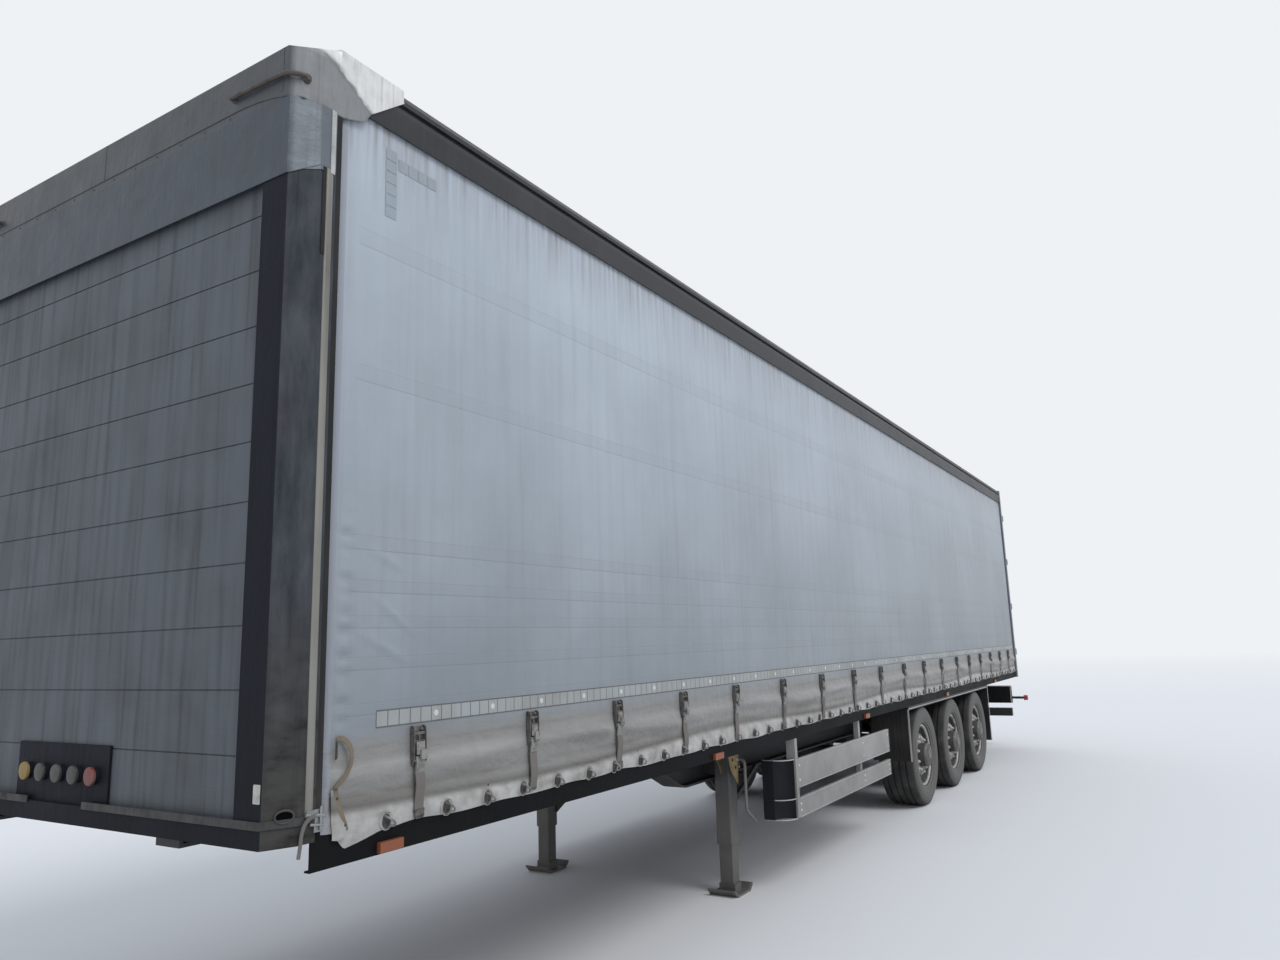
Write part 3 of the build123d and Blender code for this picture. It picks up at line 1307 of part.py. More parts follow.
with BuildPart() as mud_flaps:
    for side in (-1, 1):
        across = on_side(side, WING_INNER, wing_face - WING_LIP[0])
        block((wing_front, wing_front + FLAP), across, (FLAP_LOW[0], wing_bottom))
        block((wing_rear - FLAP, wing_rear), across, (FLAP_LOW[1], wing_bottom))
keep("mud_flaps", mud_flaps.part)

# Rear end: lamp carrier and underrun bar, both hung from the beams
LAMP_BEHIND = (140, 60)
LAMP_Z = (640, 900)
LAMP_INSET = 95
UNDERRUN_AHEAD = (220, 120)
UNDERRUN_Z = (450, 570)
UNDERRUN_EDGE = 14
BRACKET = 12
BRACKET_LENGTH = 60
BRACKET_TOP = RAVE_BOTTOM - 20
lamp_half = HALF_WIDTH - LAMP_INSET
lamp_front = REAR_FRAME_FRONT - LAMP_BEHIND[0]
lamp_back = REAR_FRAME_FRONT - LAMP_BEHIND[1]
underrun_front = REAR_FRAME_FRONT - UNDERRUN_AHEAD[0]
underrun_back = REAR_FRAME_FRONT - UNDERRUN_AHEAD[1]
with BuildPart() as light_carrier:
    block((lamp_front, lamp_back), (-lamp_half, lamp_half), LAMP_Z)
    for side in (-1, 1):
        block(
            (lamp_front, lamp_back),
            on_side(side, BEAM_OUTER, BEAM_OUTER + BRACKET),
            (LAMP_Z[1], BRACKET_TOP),
        )
keep("light_carrier", light_carrier.part)

with BuildPart() as underrun_bar:
    block((underrun_front, underrun_back), (-lamp_half, lamp_half), UNDERRUN_Z)
    fillet(edges().filter_by(Axis.Y), radius=UNDERRUN_EDGE)
    for side in (-1, 1):
        block(
            (underrun_front - BRACKET_LENGTH, underrun_front),
            on_side(side, BEAM_OUTER, BEAM_OUTER + BRACKET),
            (UNDERRUN_Z[0] + UNDERRUN_EDGE, BRACKET_TOP),
        )
keep("underrun_bar", underrun_bar.part)

# Rear lamps: a housing of three round lenses each side, and a marker on a rubber stalk outside it
CLUSTER_LENGTH = 340
CLUSTER_INSET = 20
CLUSTER_Z = (700, 840)
CLUSTER_DEPTH = 50
LENS_COUNT = 3
LENS_RADIUS = 50
LENS_DEPTH = 10
STALK_RADIUS = 16
STALK_LENGTH = 180
STALK_Z = 720
STALK_LAMP_RADIUS = 38
STALK_LAMP_LENGTH = 50
with BuildPart() as rear_lamps:
    lamp_middle = (lamp_front + lamp_back) / 2
    cluster_outer = lamp_half - CLUSTER_INSET
    cluster_middle = (cluster_outer - CLUSTER_LENGTH / 2, (CLUSTER_Z[0] + CLUSTER_Z[1]) / 2)
    lens_pitch = CLUSTER_LENGTH / LENS_COUNT
    for side in (-1, 1):
        across = on_side(side, cluster_outer - CLUSTER_LENGTH, cluster_outer)
        block((lamp_back, lamp_back + CLUSTER_DEPTH), across, CLUSTER_Z)
        with BuildSketch(Plane.YZ.offset(x_at(lamp_back + CLUSTER_DEPTH))):
            with Locations((side * cluster_middle[0], cluster_middle[1])):
                with GridLocations(lens_pitch, 0, LENS_COUNT, 1):
                    Circle(LENS_RADIUS)
        extrude(amount=LENS_DEPTH)
        with Locations((x_at(lamp_middle), side * (lamp_half + STALK_LENGTH / 2), STALK_Z)):
            Cylinder(STALK_RADIUS, STALK_LENGTH, rotation=(90, 0, 0))
        with Locations(
            (x_at(lamp_middle), side * (lamp_half + STALK_LENGTH + STALK_LAMP_LENGTH / 2), STALK_Z)
        ):
            Cylinder(STALK_LAMP_RADIUS, STALK_LAMP_LENGTH, rotation=(90, 0, 0))
keep("rear_lamps", rear_lamps.part)

# Dock buffers: rubber blocks with chamfered faces on the rear sill
BUFFER_INSET = 85
BUFFER_LENGTH = 170
BUFFER_Z = (1035, 1100)
BUFFER_CHAMFER = 15
buffer_outer = HALF_WIDTH - BUFFER_INSET
with BuildPart() as dock_buffers:
    for side in (-1, 1):
        across = on_side(side, buffer_outer - BUFFER_LENGTH, buffer_outer)
        block((REAR_FRAME_BACK, OVERALL_LENGTH), across, BUFFER_Z)
    chamfer(faces().sort_by(Axis.X)[-2:].edges(), length=BUFFER_CHAMFER)
keep("dock_buffers", dock_buffers.part)

# Side marker lamps low on the side rails' outer faces
MARKERS_FROM_FRONT = (520, 3125, 5990)
MARKERS_FROM_REAR = (4620, 1760)
MARKER_LENGTH = 110
MARKER_DEPTH = 18
MARKER_Z = (1036, 1072)
marker_stations = [*MARKERS_FROM_FRONT, *[REAR_FRAME_FRONT - ahead for ahead in MARKERS_FROM_REAR]]
with BuildPart() as side_markers:
    for station in marker_stations:
        for side in (-1, 1):
            block(
                (station - MARKER_LENGTH / 2, station + MARKER_LENGTH / 2),
                on_side(side, RAVE_FACE, RAVE_FACE + MARKER_DEPTH),
                MARKER_Z,
            )
keep("side_markers", side_markers.part)

# Air tanks slung across the frame ahead of the axles
TANKS_AHEAD = (1810, 1480)
TANK_RADIUS = 140
TANK_Z = 920
with BuildPart() as air_tanks:
    for ahead in TANKS_AHEAD:
        with Locations((x_at(AXLE_STATIONS[0] - ahead), 0, TANK_Z)):
            Cylinder(TANK_RADIUS, 2 * WEB_INNER, rotation=(90, 0, 0))
keep("air_tanks", air_tanks.part)
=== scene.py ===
from math import cos, pi, radians, sin

import bmesh
import bpy
import numpy as np
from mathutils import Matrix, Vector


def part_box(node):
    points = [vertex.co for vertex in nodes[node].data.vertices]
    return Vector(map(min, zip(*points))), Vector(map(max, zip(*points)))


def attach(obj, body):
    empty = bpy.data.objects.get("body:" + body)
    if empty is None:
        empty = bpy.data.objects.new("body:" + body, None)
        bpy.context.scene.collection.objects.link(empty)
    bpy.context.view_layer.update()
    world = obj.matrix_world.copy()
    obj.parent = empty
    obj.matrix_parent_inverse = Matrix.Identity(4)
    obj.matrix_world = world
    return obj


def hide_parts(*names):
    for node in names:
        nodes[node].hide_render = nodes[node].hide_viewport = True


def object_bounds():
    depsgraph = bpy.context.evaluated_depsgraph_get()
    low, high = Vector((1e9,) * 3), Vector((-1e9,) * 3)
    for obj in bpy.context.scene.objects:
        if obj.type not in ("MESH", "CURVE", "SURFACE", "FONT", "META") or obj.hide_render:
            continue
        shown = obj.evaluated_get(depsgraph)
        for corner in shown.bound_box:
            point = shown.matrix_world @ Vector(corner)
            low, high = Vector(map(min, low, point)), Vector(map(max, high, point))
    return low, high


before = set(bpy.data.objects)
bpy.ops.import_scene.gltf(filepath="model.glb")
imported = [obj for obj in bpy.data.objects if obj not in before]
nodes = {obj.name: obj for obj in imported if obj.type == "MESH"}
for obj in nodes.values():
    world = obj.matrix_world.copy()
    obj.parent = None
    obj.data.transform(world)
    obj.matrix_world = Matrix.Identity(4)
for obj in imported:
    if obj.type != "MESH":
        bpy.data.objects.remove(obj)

cad_box = [list(corner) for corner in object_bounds()]
FRONT_X = cad_box[0][0]

# The view: the photographer stood ahead of the left front corner and looked back along the side.
# A pale floor fades into a pale room, lit by an even sky and one broad lamp from the left.
EYE = (FRONT_X - 1.900, -3.813, 1.737)
LENS = 25.38
YAW, PITCH, ROLL = radians(31.19), radians(10.21), -0.0305
ROOM = (0.86, 0.885, 0.91, 1)
FLOOR_HALF, FLOOR_FADE = 150.0, (16.0, 60.0)


class Value:
    """An output of a shader node. Plain arithmetic on it adds Math nodes to its tree."""

    def __init__(self, socket):
        self.socket = socket
        self.tree = socket.id_data

    def apply(self, operation, second=0.0):
        return Value(step(self.tree, "ShaderNodeMath", {0: self, 1: second}, operation=operation).outputs[0])

    def clamped(self):
        self.socket.node.use_clamp = True
        return self

    def __add__(self, other):
        return self.apply("ADD", other)

    def __sub__(self, other):
        return self.apply("SUBTRACT", other)

    def __mul__(self, other):
        return self.apply("MULTIPLY", other)

    def __truediv__(self, other):
        return self.apply("DIVIDE", other)

    def __pow__(self, power):
        return self.apply("POWER", power)

    def __abs__(self):
        return self.apply("ABSOLUTE")


def step(tree, kind, inputs=(), **settings):
    """Adds a node to a tree: its settings, and its inputs as constants or as other nodes' outputs."""
    made = tree.nodes.new(kind)
    for key, value in settings.items():
        setattr(made, key, value)
    for key, value in dict(inputs).items():
        value = getattr(value, "socket", value)
        if isinstance(value, bpy.types.NodeSocket):
            tree.links.new(value, made.inputs[key])
        else:
            made.inputs[key].default_value = value
    return made


def coordinates(tree):
    """The place of a point of the surface, in metres."""
    return Value(step(tree, "ShaderNodeTexCoord").outputs["Object"])


def ramp(value, low, high, start=0.0, end=1.0):
    """A value that goes from start to end while another goes from low to high, and is held outside."""
    inputs = {"Value": value, "From Min": low, "From Max": high, "To Min": start, "To Max": end}
    return Value(step(value.tree, "ShaderNodeMapRange", inputs).outputs[0])


def add_object(name, data, axes=np.eye(3), place=(0, 0, 0)):
    """Adds an object whose own axes point along three directions, at a place."""
    matrix = np.eye(4)
    matrix[:3, :3] = np.transpose(axes)
    matrix[:3, 3] = place
    made = bpy.data.objects.new(name, data)
    made.matrix_world = matrix.T.tolist()
    bpy.context.scene.collection.objects.link(made)
    return made


def aim_camera():
    """Camera axes from yaw, pitch and roll: right and up are turned by the roll about the look."""
    look = np.array((cos(YAW) * cos(PITCH), sin(YAW) * cos(PITCH), sin(PITCH)))
    right = np.array((sin(YAW), -cos(YAW), 0))
    up = np.cross(right, look)
    data = bpy.data.cameras.new("camera")
    data.lens = LENS
    data.clip_end = 400
    rolled = (right * cos(ROLL) + up * sin(ROLL), up * cos(ROLL) - right * sin(ROLL), -look)
    bpy.context.scene.camera = add_object("camera", data, rolled, EYE)


def set_room():
    """World light, and the room's colour wherever a camera, glossy or transmission ray leaves."""
    world = bpy.data.worlds.new("room")
    bpy.context.scene.world = world
    world.use_nodes = True
    tree = world.node_tree
    tree.nodes.clear()
    rays = step(tree, "ShaderNodeLightPath").outputs
    seen = Value(rays["Is Camera Ray"])
    for kind in ("Is Glossy Ray", "Is Transmission Ray"):
        seen = seen.apply("MAXIMUM", rays[kind])
    sky = step(tree, "ShaderNodeBackground", {"Color": (0.84, 0.90, 1.0, 1), "Strength": 0.72})
    room = step(tree, "ShaderNodeBackground", {"Color": ROOM, "Strength": 1.0})
    mix = step(tree, "ShaderNodeMixShader", {0: seen, 1: sky.outputs[0], 2: room.outputs[0]})
    step(tree, "ShaderNodeOutputWorld", {"Surface": mix.outputs[0]})


def add_sun(name, direction, strength, spread):
    """A lamp so far off that its light is parallel, softened over an angle of spread degrees."""
    data = bpy.data.lights.new(name, "SUN")
    data.energy = strength
    data.angle = radians(spread)
    away = np.array(direction) / np.linalg.norm(direction)
    side = np.cross((0, 0, 1), away)
    side /= np.linalg.norm(side)
    add_object(name, data, (side, np.cross(away, side), away))


def lay_floor(half):
    """A flat pale floor whose colour turns into the room's colour over the fade's span."""
    mesh = bpy.data.meshes.new("floor")
    corners = [(-half, -half, 0), (half, -half, 0), (half, half, 0), (-half, half, 0)]
    mesh.from_pydata(corners, [], [(0, 1, 2, 3)])
    material = bpy.data.materials.new("floor")
    material.use_nodes = True
    tree = material.node_tree
    tree.nodes.clear()
    reach = step(tree, "ShaderNodeVectorMath", {0: coordinates(tree)}, operation="LENGTH")
    fade = ramp(Value(reach.outputs["Value"]), *FLOOR_FADE)
    plain = step(tree, "ShaderNodeBsdfDiffuse", {"Color": (0.78, 0.785, 0.79, 1)})
    far = step(tree, "ShaderNodeEmission", {"Color": ROOM, "Strength": 1.0})
    mix = step(tree, "ShaderNodeMixShader", {0: fade, 1: plain.outputs[0], 2: far.outputs[0]})
    step(tree, "ShaderNodeOutputMaterial", {"Surface": mix.outputs[0]})
    mesh.materials.append(material)
    add_object("floor", mesh)


aim_camera()
set_room()
add_sun("broad_lamp", (-0.18, -0.85, 1.0), 1.20, 30)
add_sun("rear_fill", (0.8, 0.4, 0.7), 0.35, 60)
lay_floor(FLOOR_HALF)
bpy.context.scene.view_settings.view_transform = "Standard"

# Frame: welded and rolled steel beams, cross members and side rails under the floor.
# Dark paint, dulled by road dust that is thickest low down and lies in soft patches.


def axes_of(tree):
    """Station rearwards from the front, place across and height of a point of the surface, in metres."""
    split = step(tree, "ShaderNodeSeparateXYZ", {0: coordinates(tree)})
    x, y, z = (Value(socket) for socket in split.outputs)
    return x - FRONT_X, y, z


def noise(vector, scale, detail=4.0, roughness=0.55):
    """The value of a noise texture, spread from about 0 to 1."""
    inputs = {"Vector": vector, "Scale": scale, "Detail": detail, "Roughness": roughness}
    return ramp(Value(step(vector.tree, "ShaderNodeTexNoise", inputs).outputs[0]), 0.3, 0.7)


def pulled(vector, scale):
    """Coordinates multiplied axis by axis."""
    return Value(step(vector.tree, "ShaderNodeMapping", {"Vector": vector, "Scale": scale}).outputs[0])


def mixed(share, first, second):
    """One colour over another by a share from 0 to 1."""
    inputs = {0: share}
    for index, colour in ((6, first), (7, second)):
        inputs[index] = colour if isinstance(colour, Value) else (*colour, 1)
    return Value(step(share.tree, "ShaderNodeMix", inputs, data_type="RGBA", clamp_factor=True).outputs[2])


def build_weathering():
    """Dirt over a paint: a haze that thins with height, run-off streaks, and cloudy patches.

    Mask = Amount x (Low x exp(-z / Height) x cloud + Streaks x fine vertical noise + Patches x cloud).
    """
    tree = bpy.data.node_groups.new("weathering", "ShaderNodeTree")
    inputs = {"Color": (0.5, 0.5, 0.5, 1), "Dirt": (0.2, 0.18, 0.16, 1), "Amount": 1.0, "Low": 1.0,
              "Height": 1.0, "Streaks": 0.3, "Patches": 0.3, "Scale": 1.0}
    for label, value in inputs.items():
        kind = "NodeSocketFloat" if isinstance(value, float) else "NodeSocketColor"
        tree.interface.new_socket(label, in_out="INPUT", socket_type=kind).default_value = value
    for label, kind in (("Color", "NodeSocketColor"), ("Mask", "NodeSocketFloat")):
        tree.interface.new_socket(label, in_out="OUTPUT", socket_type=kind)
    given = {socket.name: Value(socket) for socket in step(tree, "NodeGroupInput").outputs if socket.name}
    place = coordinates(tree)
    z = Value(step(tree, "ShaderNodeSeparateXYZ", {0: place}).outputs[2])
    scaled = step(tree, "ShaderNodeVectorMath", {0: place, "Scale": given["Scale"]}, operation="SCALE")
    scaled = Value(scaled.outputs[0])
    cloud = noise(scaled, 2.2, 6.0)
    low = (z * -1.0 / given["Height"]).apply("EXPONENT") * given["Low"] * (cloud * 0.8 + 0.5)
    runs = noise(pulled(scaled, (26.0, 26.0, 1.1)), 1.0, 3.0) ** 2.5 * given["Streaks"]
    mask = ((low + runs + cloud ** 2.0 * given["Patches"]) * given["Amount"]).clamped()
    step(tree, "NodeGroupOutput", {"Color": mixed(mask, given["Color"], given["Dirt"]), "Mask": mask})
    return tree


weathering = build_weathering()


def feed(material, value, socket, node="Principled BSDF"):
    """Joins a value to a socket of a material's shader, or of its node called aged."""
    material.node_tree.links.new(value.socket, material.node_tree.nodes[node].inputs[socket])


def finish(name, colour, roughness, metallic=0.0, shine=0.5, **weather):
    """A material: one colour under the weathering group, duller where the dirt lies."""
    material = bpy.data.materials.new(name)
    material.use_nodes = True
    shader = material.node_tree.nodes["Principled BSDF"]
    shader.inputs["Metallic"].default_value = metallic
    shader.inputs["Specular IOR Level"].default_value = shine
    inputs = {"Color": (*colour, 1)}
    for key, value in weather.items():
        inputs[key.capitalize()] = (*value, 1) if key == "dirt" else value
    aged = step(material.node_tree, "ShaderNodeGroup", node_tree=weathering, name="aged")
    for label, value in inputs.items():
        aged.inputs[label].default_value = value
    feed(material, Value(aged.outputs["Color"]), "Base Color")
    feed(material, ramp(Value(aged.outputs["Mask"]), 0.0, 1.0, roughness, 0.85), "Roughness")
    return material


def roughen(material, height, depth):
    """Adds an uneven surface to a material, as high as a value times a depth in metres."""
    inputs = {"Height": height, "Strength": 1.0, "Distance": depth}
    feed(material, Value(step(height.tree, "ShaderNodeBump", inputs).outputs[0]), "Normal")
    return material


def pit(material, scale, depth, stretch=(1.0, 1.0, 1.0)):
    """Adds a fine uneven surface to a material, its noise stretched along the axes."""
    return roughen(material, noise(pulled(coordinates(material.node_tree), stretch), scale, 5.0), depth)


def dress(material, *names):
    """Gives CAD nodes their finish."""
    for name in names:
        mesh = nodes[name].data
        mesh.materials.clear()
        mesh.materials.append(material)


DUST = (0.19, 0.17, 0.15)
chassis_paint = pit(finish(
    "chassis_paint", (0.016, 0.019, 0.024), 0.42, shine=0.3, dirt=(0.10, 0.09, 0.08), amount=0.85, low=0.55,
    height=0.9, streaks=0.15, patches=0.3), 60, 0.0006)
# The side rails and rear sill are near black: their dark paint, with painted shade under the curtain's hem.
rail_paint = pit(finish(
    "rail_paint", (0.004, 0.0045, 0.006), 0.5, shine=0.07, dirt=(0.018, 0.017, 0.016), amount=0.85,
    low=0.15, height=1.2, streaks=0.25, patches=0.6, scale=0.8), 60, 0.0005)
kingpin_steel = pit(finish(
    "kingpin_steel", (0.30, 0.29, 0.28), 0.35, 1.0, dirt=(0.03, 0.03, 0.03), amount=1.0, low=0.2,
    patches=0.7, scale=12), 90, 0.0002)
dress(chassis_paint, "main_beams", "cross_members", "coupling_plate", "spring_hangers", "trailing_arms",
      "axle_1", "axle_2", "axle_3", "air_tanks")
dress(rail_paint, "side_rails", "rear_sill")
dress(kingpin_steel, "kingpin")

# Body panels: front wall of stacked hollow aluminium planks, painted steel posts and header, floor.
# Paint and metal are streaked by rain, and the floor's coated plywood is scuffed along its length.
planks = pit(finish(
    "planks", (0.115, 0.13, 0.145), 0.55, 0.15, shine=0.3, dirt=(0.05, 0.048, 0.045), amount=0.8, low=0.3,
    height=1.5, streaks=0.5, patches=0.35), 30, 0.0004, stretch=(1, 0.15, 3))
post_paint = pit(finish(
    "post_paint", (0.10, 0.12, 0.155), 0.4, dirt=(0.30, 0.29, 0.28), amount=0.7, low=0.4, height=1.6,
    streaks=0.45, patches=0.35), 40, 0.0005)
door_paint = pit(finish(
    "door_paint", (0.42, 0.45, 0.48), 0.4, dirt=DUST, amount=0.9, low=0.7, height=1.4, streaks=0.6,
    patches=0.25), 25, 0.0006)
floor_wood = pit(finish(
    "floor_wood", (0.10, 0.055, 0.03), 0.6, dirt=(0.25, 0.22, 0.19), amount=0.8, low=0.2, patches=0.5,
    streaks=0.0), 40, 0.0005, stretch=(0.2, 2, 2))
galvanised = pit(finish(
    "galvanised", (0.36, 0.37, 0.38), 0.42, 0.8, dirt=(0.10, 0.09, 0.08), amount=0.9, low=0.4, patches=0.5,
    streaks=0.3, scale=6), 70, 0.0003)
anodised = pit(finish(
    "anodised", (0.026, 0.028, 0.034), 0.4, 0.3, shine=0.35, dirt=(0.10, 0.095, 0.09), amount=0.8, low=0.0,
    patches=0.35, streaks=0.2, scale=1.5), 40, 0.0002)
black_plastic = pit(finish(
    "black_plastic", (0.02, 0.02, 0.022), 0.5, dirt=DUST, amount=0.8, low=0.6, height=0.8, patches=0.25,
    streaks=0.2), 200, 0.0002)
black_rubber = pit(finish(
    "black_rubber", (0.010, 0.010, 0.011), 0.65, shine=0.25, dirt=(0.12, 0.11, 0.10), amount=0.8, low=0.5,
    height=0.7, patches=0.25, streaks=0.1), 120, 0.0003)
amber_lens = finish(
    "amber_lens", (0.26, 0.065, 0.018), 0.3, dirt=(0.12, 0.08, 0.06), amount=0.6, low=0.5, height=0.9)
dress(planks, "front_wall", "roof_bows", "side_posts_left", "side_posts_right")
dress(post_paint, "rear_post_left", "rear_post_right", "rear_header")
dress(door_paint, "door_leaf_left", "door_leaf_right")
dress(floor_wood, "floor_deck")
dress(galvanised, "door_gear_left", "door_gear_right")
dress(anodised, "roof_rails")
dress(black_plastic, "mudguards")
dress(black_rubber, "air_springs", "mud_flaps", "dock_buffers")
dress(amber_lens, "side_markers")

# Curtains: coated cloth stretched between two tubes and pulled down to the side rail by its buckles.
# Seven webbing bands run along it, a strap is welded inside above each buckle, and the hem is gathered.
SIDES = ((-1, "left"), (1, "right"))
CURTAIN_S = (0.205, 13.548)
CURTAIN_Z = (1.112, 3.862)
CURTAIN_Y = 1.2556
TUBES = (0.233, 13.526)
# Columns: height of a band's middle, half its width
BANDS = ((3.30, 0.034), (2.76, 0.030), (2.125, 0.026), (1.967, 0.022), (1.839, 0.022), (1.692, 0.022),
         (1.533, 0.020))
CREASE_Z, CREASE_RISE, CREASE_TURN = 1.195, 0.018, (1.745, 1.533)
# Columns: station and height where a slanting crease of the cloth starts, its run, its drop
CREASES = ((0.42, 1.93, 0.20, -0.13), (0.40, 2.10, 0.16, -0.06), (0.36, 1.80, 0.24, -0.11))
# Columns: height, half width, strength and colour of the painted fold stripes: a painted highlight on the
# fold's crown, painted shade under it and a painted dark line at its top
PAINTED_FOLD_STRIPES = ((1.338, 0.034, 0.75, (0.37, 0.37, 0.365)), (1.242, 0.030, 0.80, (0.105, 0.088, 0.070)),
           (1.400, 0.016, 0.45, (0.11, 0.105, 0.10)))
FIRST_BUCKLE, BUCKLE_ROWS = 0.644, ((4, 0.689), (8, 0.769), (5, 0.689))
pitches = np.concatenate([np.full(count, pitch) for count, pitch in BUCKLE_ROWS])
buckle_stations = FIRST_BUCKLE + np.concatenate([[0.0], np.cumsum(pitches)])
chance = np.random.default_rng(7)
WAVES = chance.uniform((0.6, 0.8, 0.0), (3.4, 4.0, 2 * pi), (14, 3))


def grid_quads(rows, columns, wrap_rows=False, wrap_columns=False):
    """Quads between neighbours of a grid of points, closed round on itself where it wraps."""
    down, along = np.arange(rows - (not wrap_rows)), np.arange(columns - (not wrap_columns))
    i, j = np.meshgrid(down, along, indexing="ij")
    below, beside = (i + 1) % rows, (j + 1) % columns
    corners = (i * columns + j, below * columns + j, below * columns + beside, i * columns + beside)
    return np.stack(corners, -1).reshape(-1, 4)


def piece(name, shapes, material, body="chassis", stands_for=(), slot="", sharp=38, weld=True, bevel=0.0):
    """Joins shapes, each an array of points and one of quads, into one object that rides on a body.

    A point is its station from the front, its place across and its height.
    """
    points = np.concatenate([shape[0].reshape(-1, 3) for shape in shapes]) + (FRONT_X, 0, 0)
    starts = np.cumsum([0] + [shape[0].size // 3 for shape in shapes[:-1]])
    quads = np.concatenate([shape[1] + start for shape, start in zip(shapes, starts)])
    mesh = bpy.data.meshes.new(name)
    mesh.vertices.add(len(points))
    mesh.vertices.foreach_set("co", points.ravel())
    mesh.loops.add(quads.size)
    mesh.loops.foreach_set("vertex_index", quads.ravel())
    mesh.polygons.add(len(quads))
    mesh.polygons.foreach_set("loop_start", np.arange(0, quads.size, 4))
    mesh.update(calc_edges=True)
    if weld:
        shell = bmesh.new()
        shell.from_mesh(mesh)
        bmesh.ops.remove_doubles(shell, verts=shell.verts, dist=2e-5)
        bmesh.ops.dissolve_degenerate(shell, edges=shell.edges, dist=1e-6)
        bmesh.ops.recalc_face_normals(shell, faces=shell.faces)
        shell.to_mesh(mesh)
        shell.free()
    mesh.shade_smooth()
    mesh.set_sharp_from_angle(angle=radians(sharp))
    mesh.materials.append(material)
    made = add_object(name, mesh)
    if bevel:
        rounding = made.modifiers.new("rounding", "BEVEL")
        rounding.width = bevel
        rounding.segments = 2
    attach(made, body)
    if stands_for:
        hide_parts(*stands_for)
    return made


def bell(value, middle, width):
    """A smooth bump of height one round a middle."""
    return np.exp(-(((value - middle) / width) ** 2))


def curtain_depth(s, z, turn=0.0):
    """How far the cloth stands out of its plane, in metres.

    A shallow belly and long soft waves above, a fold above the hem's crease, the pull of each buckle's
    strap, and short puckers where the bands are sewn round the front tube. It never dips behind the rail.
    """
    x = FRONT_X + s
    height = (z - 1.45) / (CURTAIN_Z[1] - 1.45)
    belly = 0.004 * np.sin(pi * np.clip(height, 0, 1))
    soft = sum(np.sin(a * x + b * z * 1.3 + phase + turn) for a, b, phase in WAVES) / len(WAVES)
    waves = 0.0045 * soft * np.clip(height + 0.2, 0, 1) * np.clip(1.1 - height, 0, 1)
    pull = bell(np.abs(s[..., None] - buckle_stations).min(-1), 0, 0.075)
    crease = CREASE_Z + CREASE_RISE * np.sin(CREASE_TURN[0] * x + CREASE_TURN[1])
    over = 1.315 + 0.02 * np.sin(3.3 * x + turn)
    fold = 0.030 * bell(z, over, 0.036) - 0.008 * bell(z, crease, 0.010) + 0.014 * bell(z, 1.148, 0.048)
    slack = 0.7 + 0.4 * np.sin(2.6 * x + 1.3 + turn) + 0.3 * np.sin(7.1 * x + turn)
    slack = slack * np.clip((s - 0.27) / 0.12, 0.2, 1)
    drawn_in = 0.004 * pull * np.clip((1.47 - z) / 0.12, 0, 1) * np.clip((z - 1.22) / 0.05, 0, 1)
    hem = fold * (slack * (1 - 0.9 * pull) + 0.25 * (1 - 0.7 * pull)) - drawn_in
    ripple = 0.0022 * np.sin(x * 2 * pi / 0.235 + 0.6) * bell(z, 1.15, 0.05)
    tube = 0.009 * bell(s, TUBES[0] - 0.003, 0.012) - 0.004 * bell(s, TUBES[0] + 0.020, 0.006)
    fade = bell(s, CURTAIN_S[0] + 0.085, 0.036)
    puckers = sum(bell(z, level + shift, 0.014) for level, half in BANDS[2:] for shift in (-0.030, 0.026))
    gather = fade * (0.0035 * np.sin(z * 2 * pi / 0.083) * bell(z, 1.9, 0.40) - 0.0125 * puckers)
    total = belly + waves + hem + ripple + gather + tube
    for start, start_z, run, drop in CREASES:
        along = np.clip((s - start) / run, 0, 1)
        reach = bell(s, start + run / 2, run * 0.45)
        total = total + 0.0085 * bell(z - start_z - drop * along, 0, 0.014) * reach
    return np.maximum(total, np.interp(z, (1.22, 1.27), (0.0008, -0.02)))


def curtain_point(s, z, side, out=0.0):
    """A point of the cloth, wrapped inwards round its two end tubes, raised by out metres."""
    depth = curtain_depth(s, z, 0.0 if side < 0 else 2.0)
    past = np.clip(np.maximum(TUBES[0] - s, s - TUBES[1]) / 0.03, 0, 0.999)
    wrap = 0.020 * (1 - np.sqrt(1 - past**2))
    ends = np.clip(np.minimum(s - CURTAIN_S[0], CURTAIN_S[1] - s) / 0.08, 0, 1)
    y = side * (CURTAIN_Y + depth * ends - wrap + out)
    return np.stack(np.broadcast_arrays(s, y, z), -1)


def curtain(name, side, material):
    """The cloth as a grid, close in the hem, at the bands and at the front, its lower edge uneven."""
    rows = np.concatenate([np.linspace(CURTAIN_Z[0], 1.46, 32), np.linspace(1.475, 2.30, 56),
                           np.linspace(2.33, CURTAIN_Z[1], 34)])
    close = np.concatenate([np.linspace(0, 0.06, 22), np.linspace(0.06, 0.45, 36)]) + CURTAIN_S[0]
    columns = np.concatenate([np.linspace(*CURTAIN_S, 380), close, CURTAIN_S[1] - 0.004 * np.arange(12)])
    columns = np.unique(np.round(columns + FRONT_X, 5)) - FRONT_X
    z, s = np.meshgrid(rows, columns, indexing="ij")
    x = FRONT_X + columns
    nearest = np.abs(columns[:, None] - buckle_stations).min(-1)
    edge = 0.002 * bell(nearest, 0, 0.10) - 0.004 * np.sin(x * 2 * pi / 0.47) - 0.003 * np.sin(x * 5.3)
    corner = np.interp(columns, (0.205, 0.262, 0.296, 0.315, 0.47), (0.030, 0.026, -0.012, -0.030, 0.0))
    z = z + (edge + corner) * np.clip((1.26 - z) / 0.14, 0, 1)
    quads = grid_quads(len(rows), len(columns))
    made = piece(name, [(curtain_point(s, z, side), quads if side > 0 else quads[:, ::-1])], material,
                 stands_for=[name.replace("cloth", "curtain")], slot="curtain_fabric", sharp=60, weld=False)


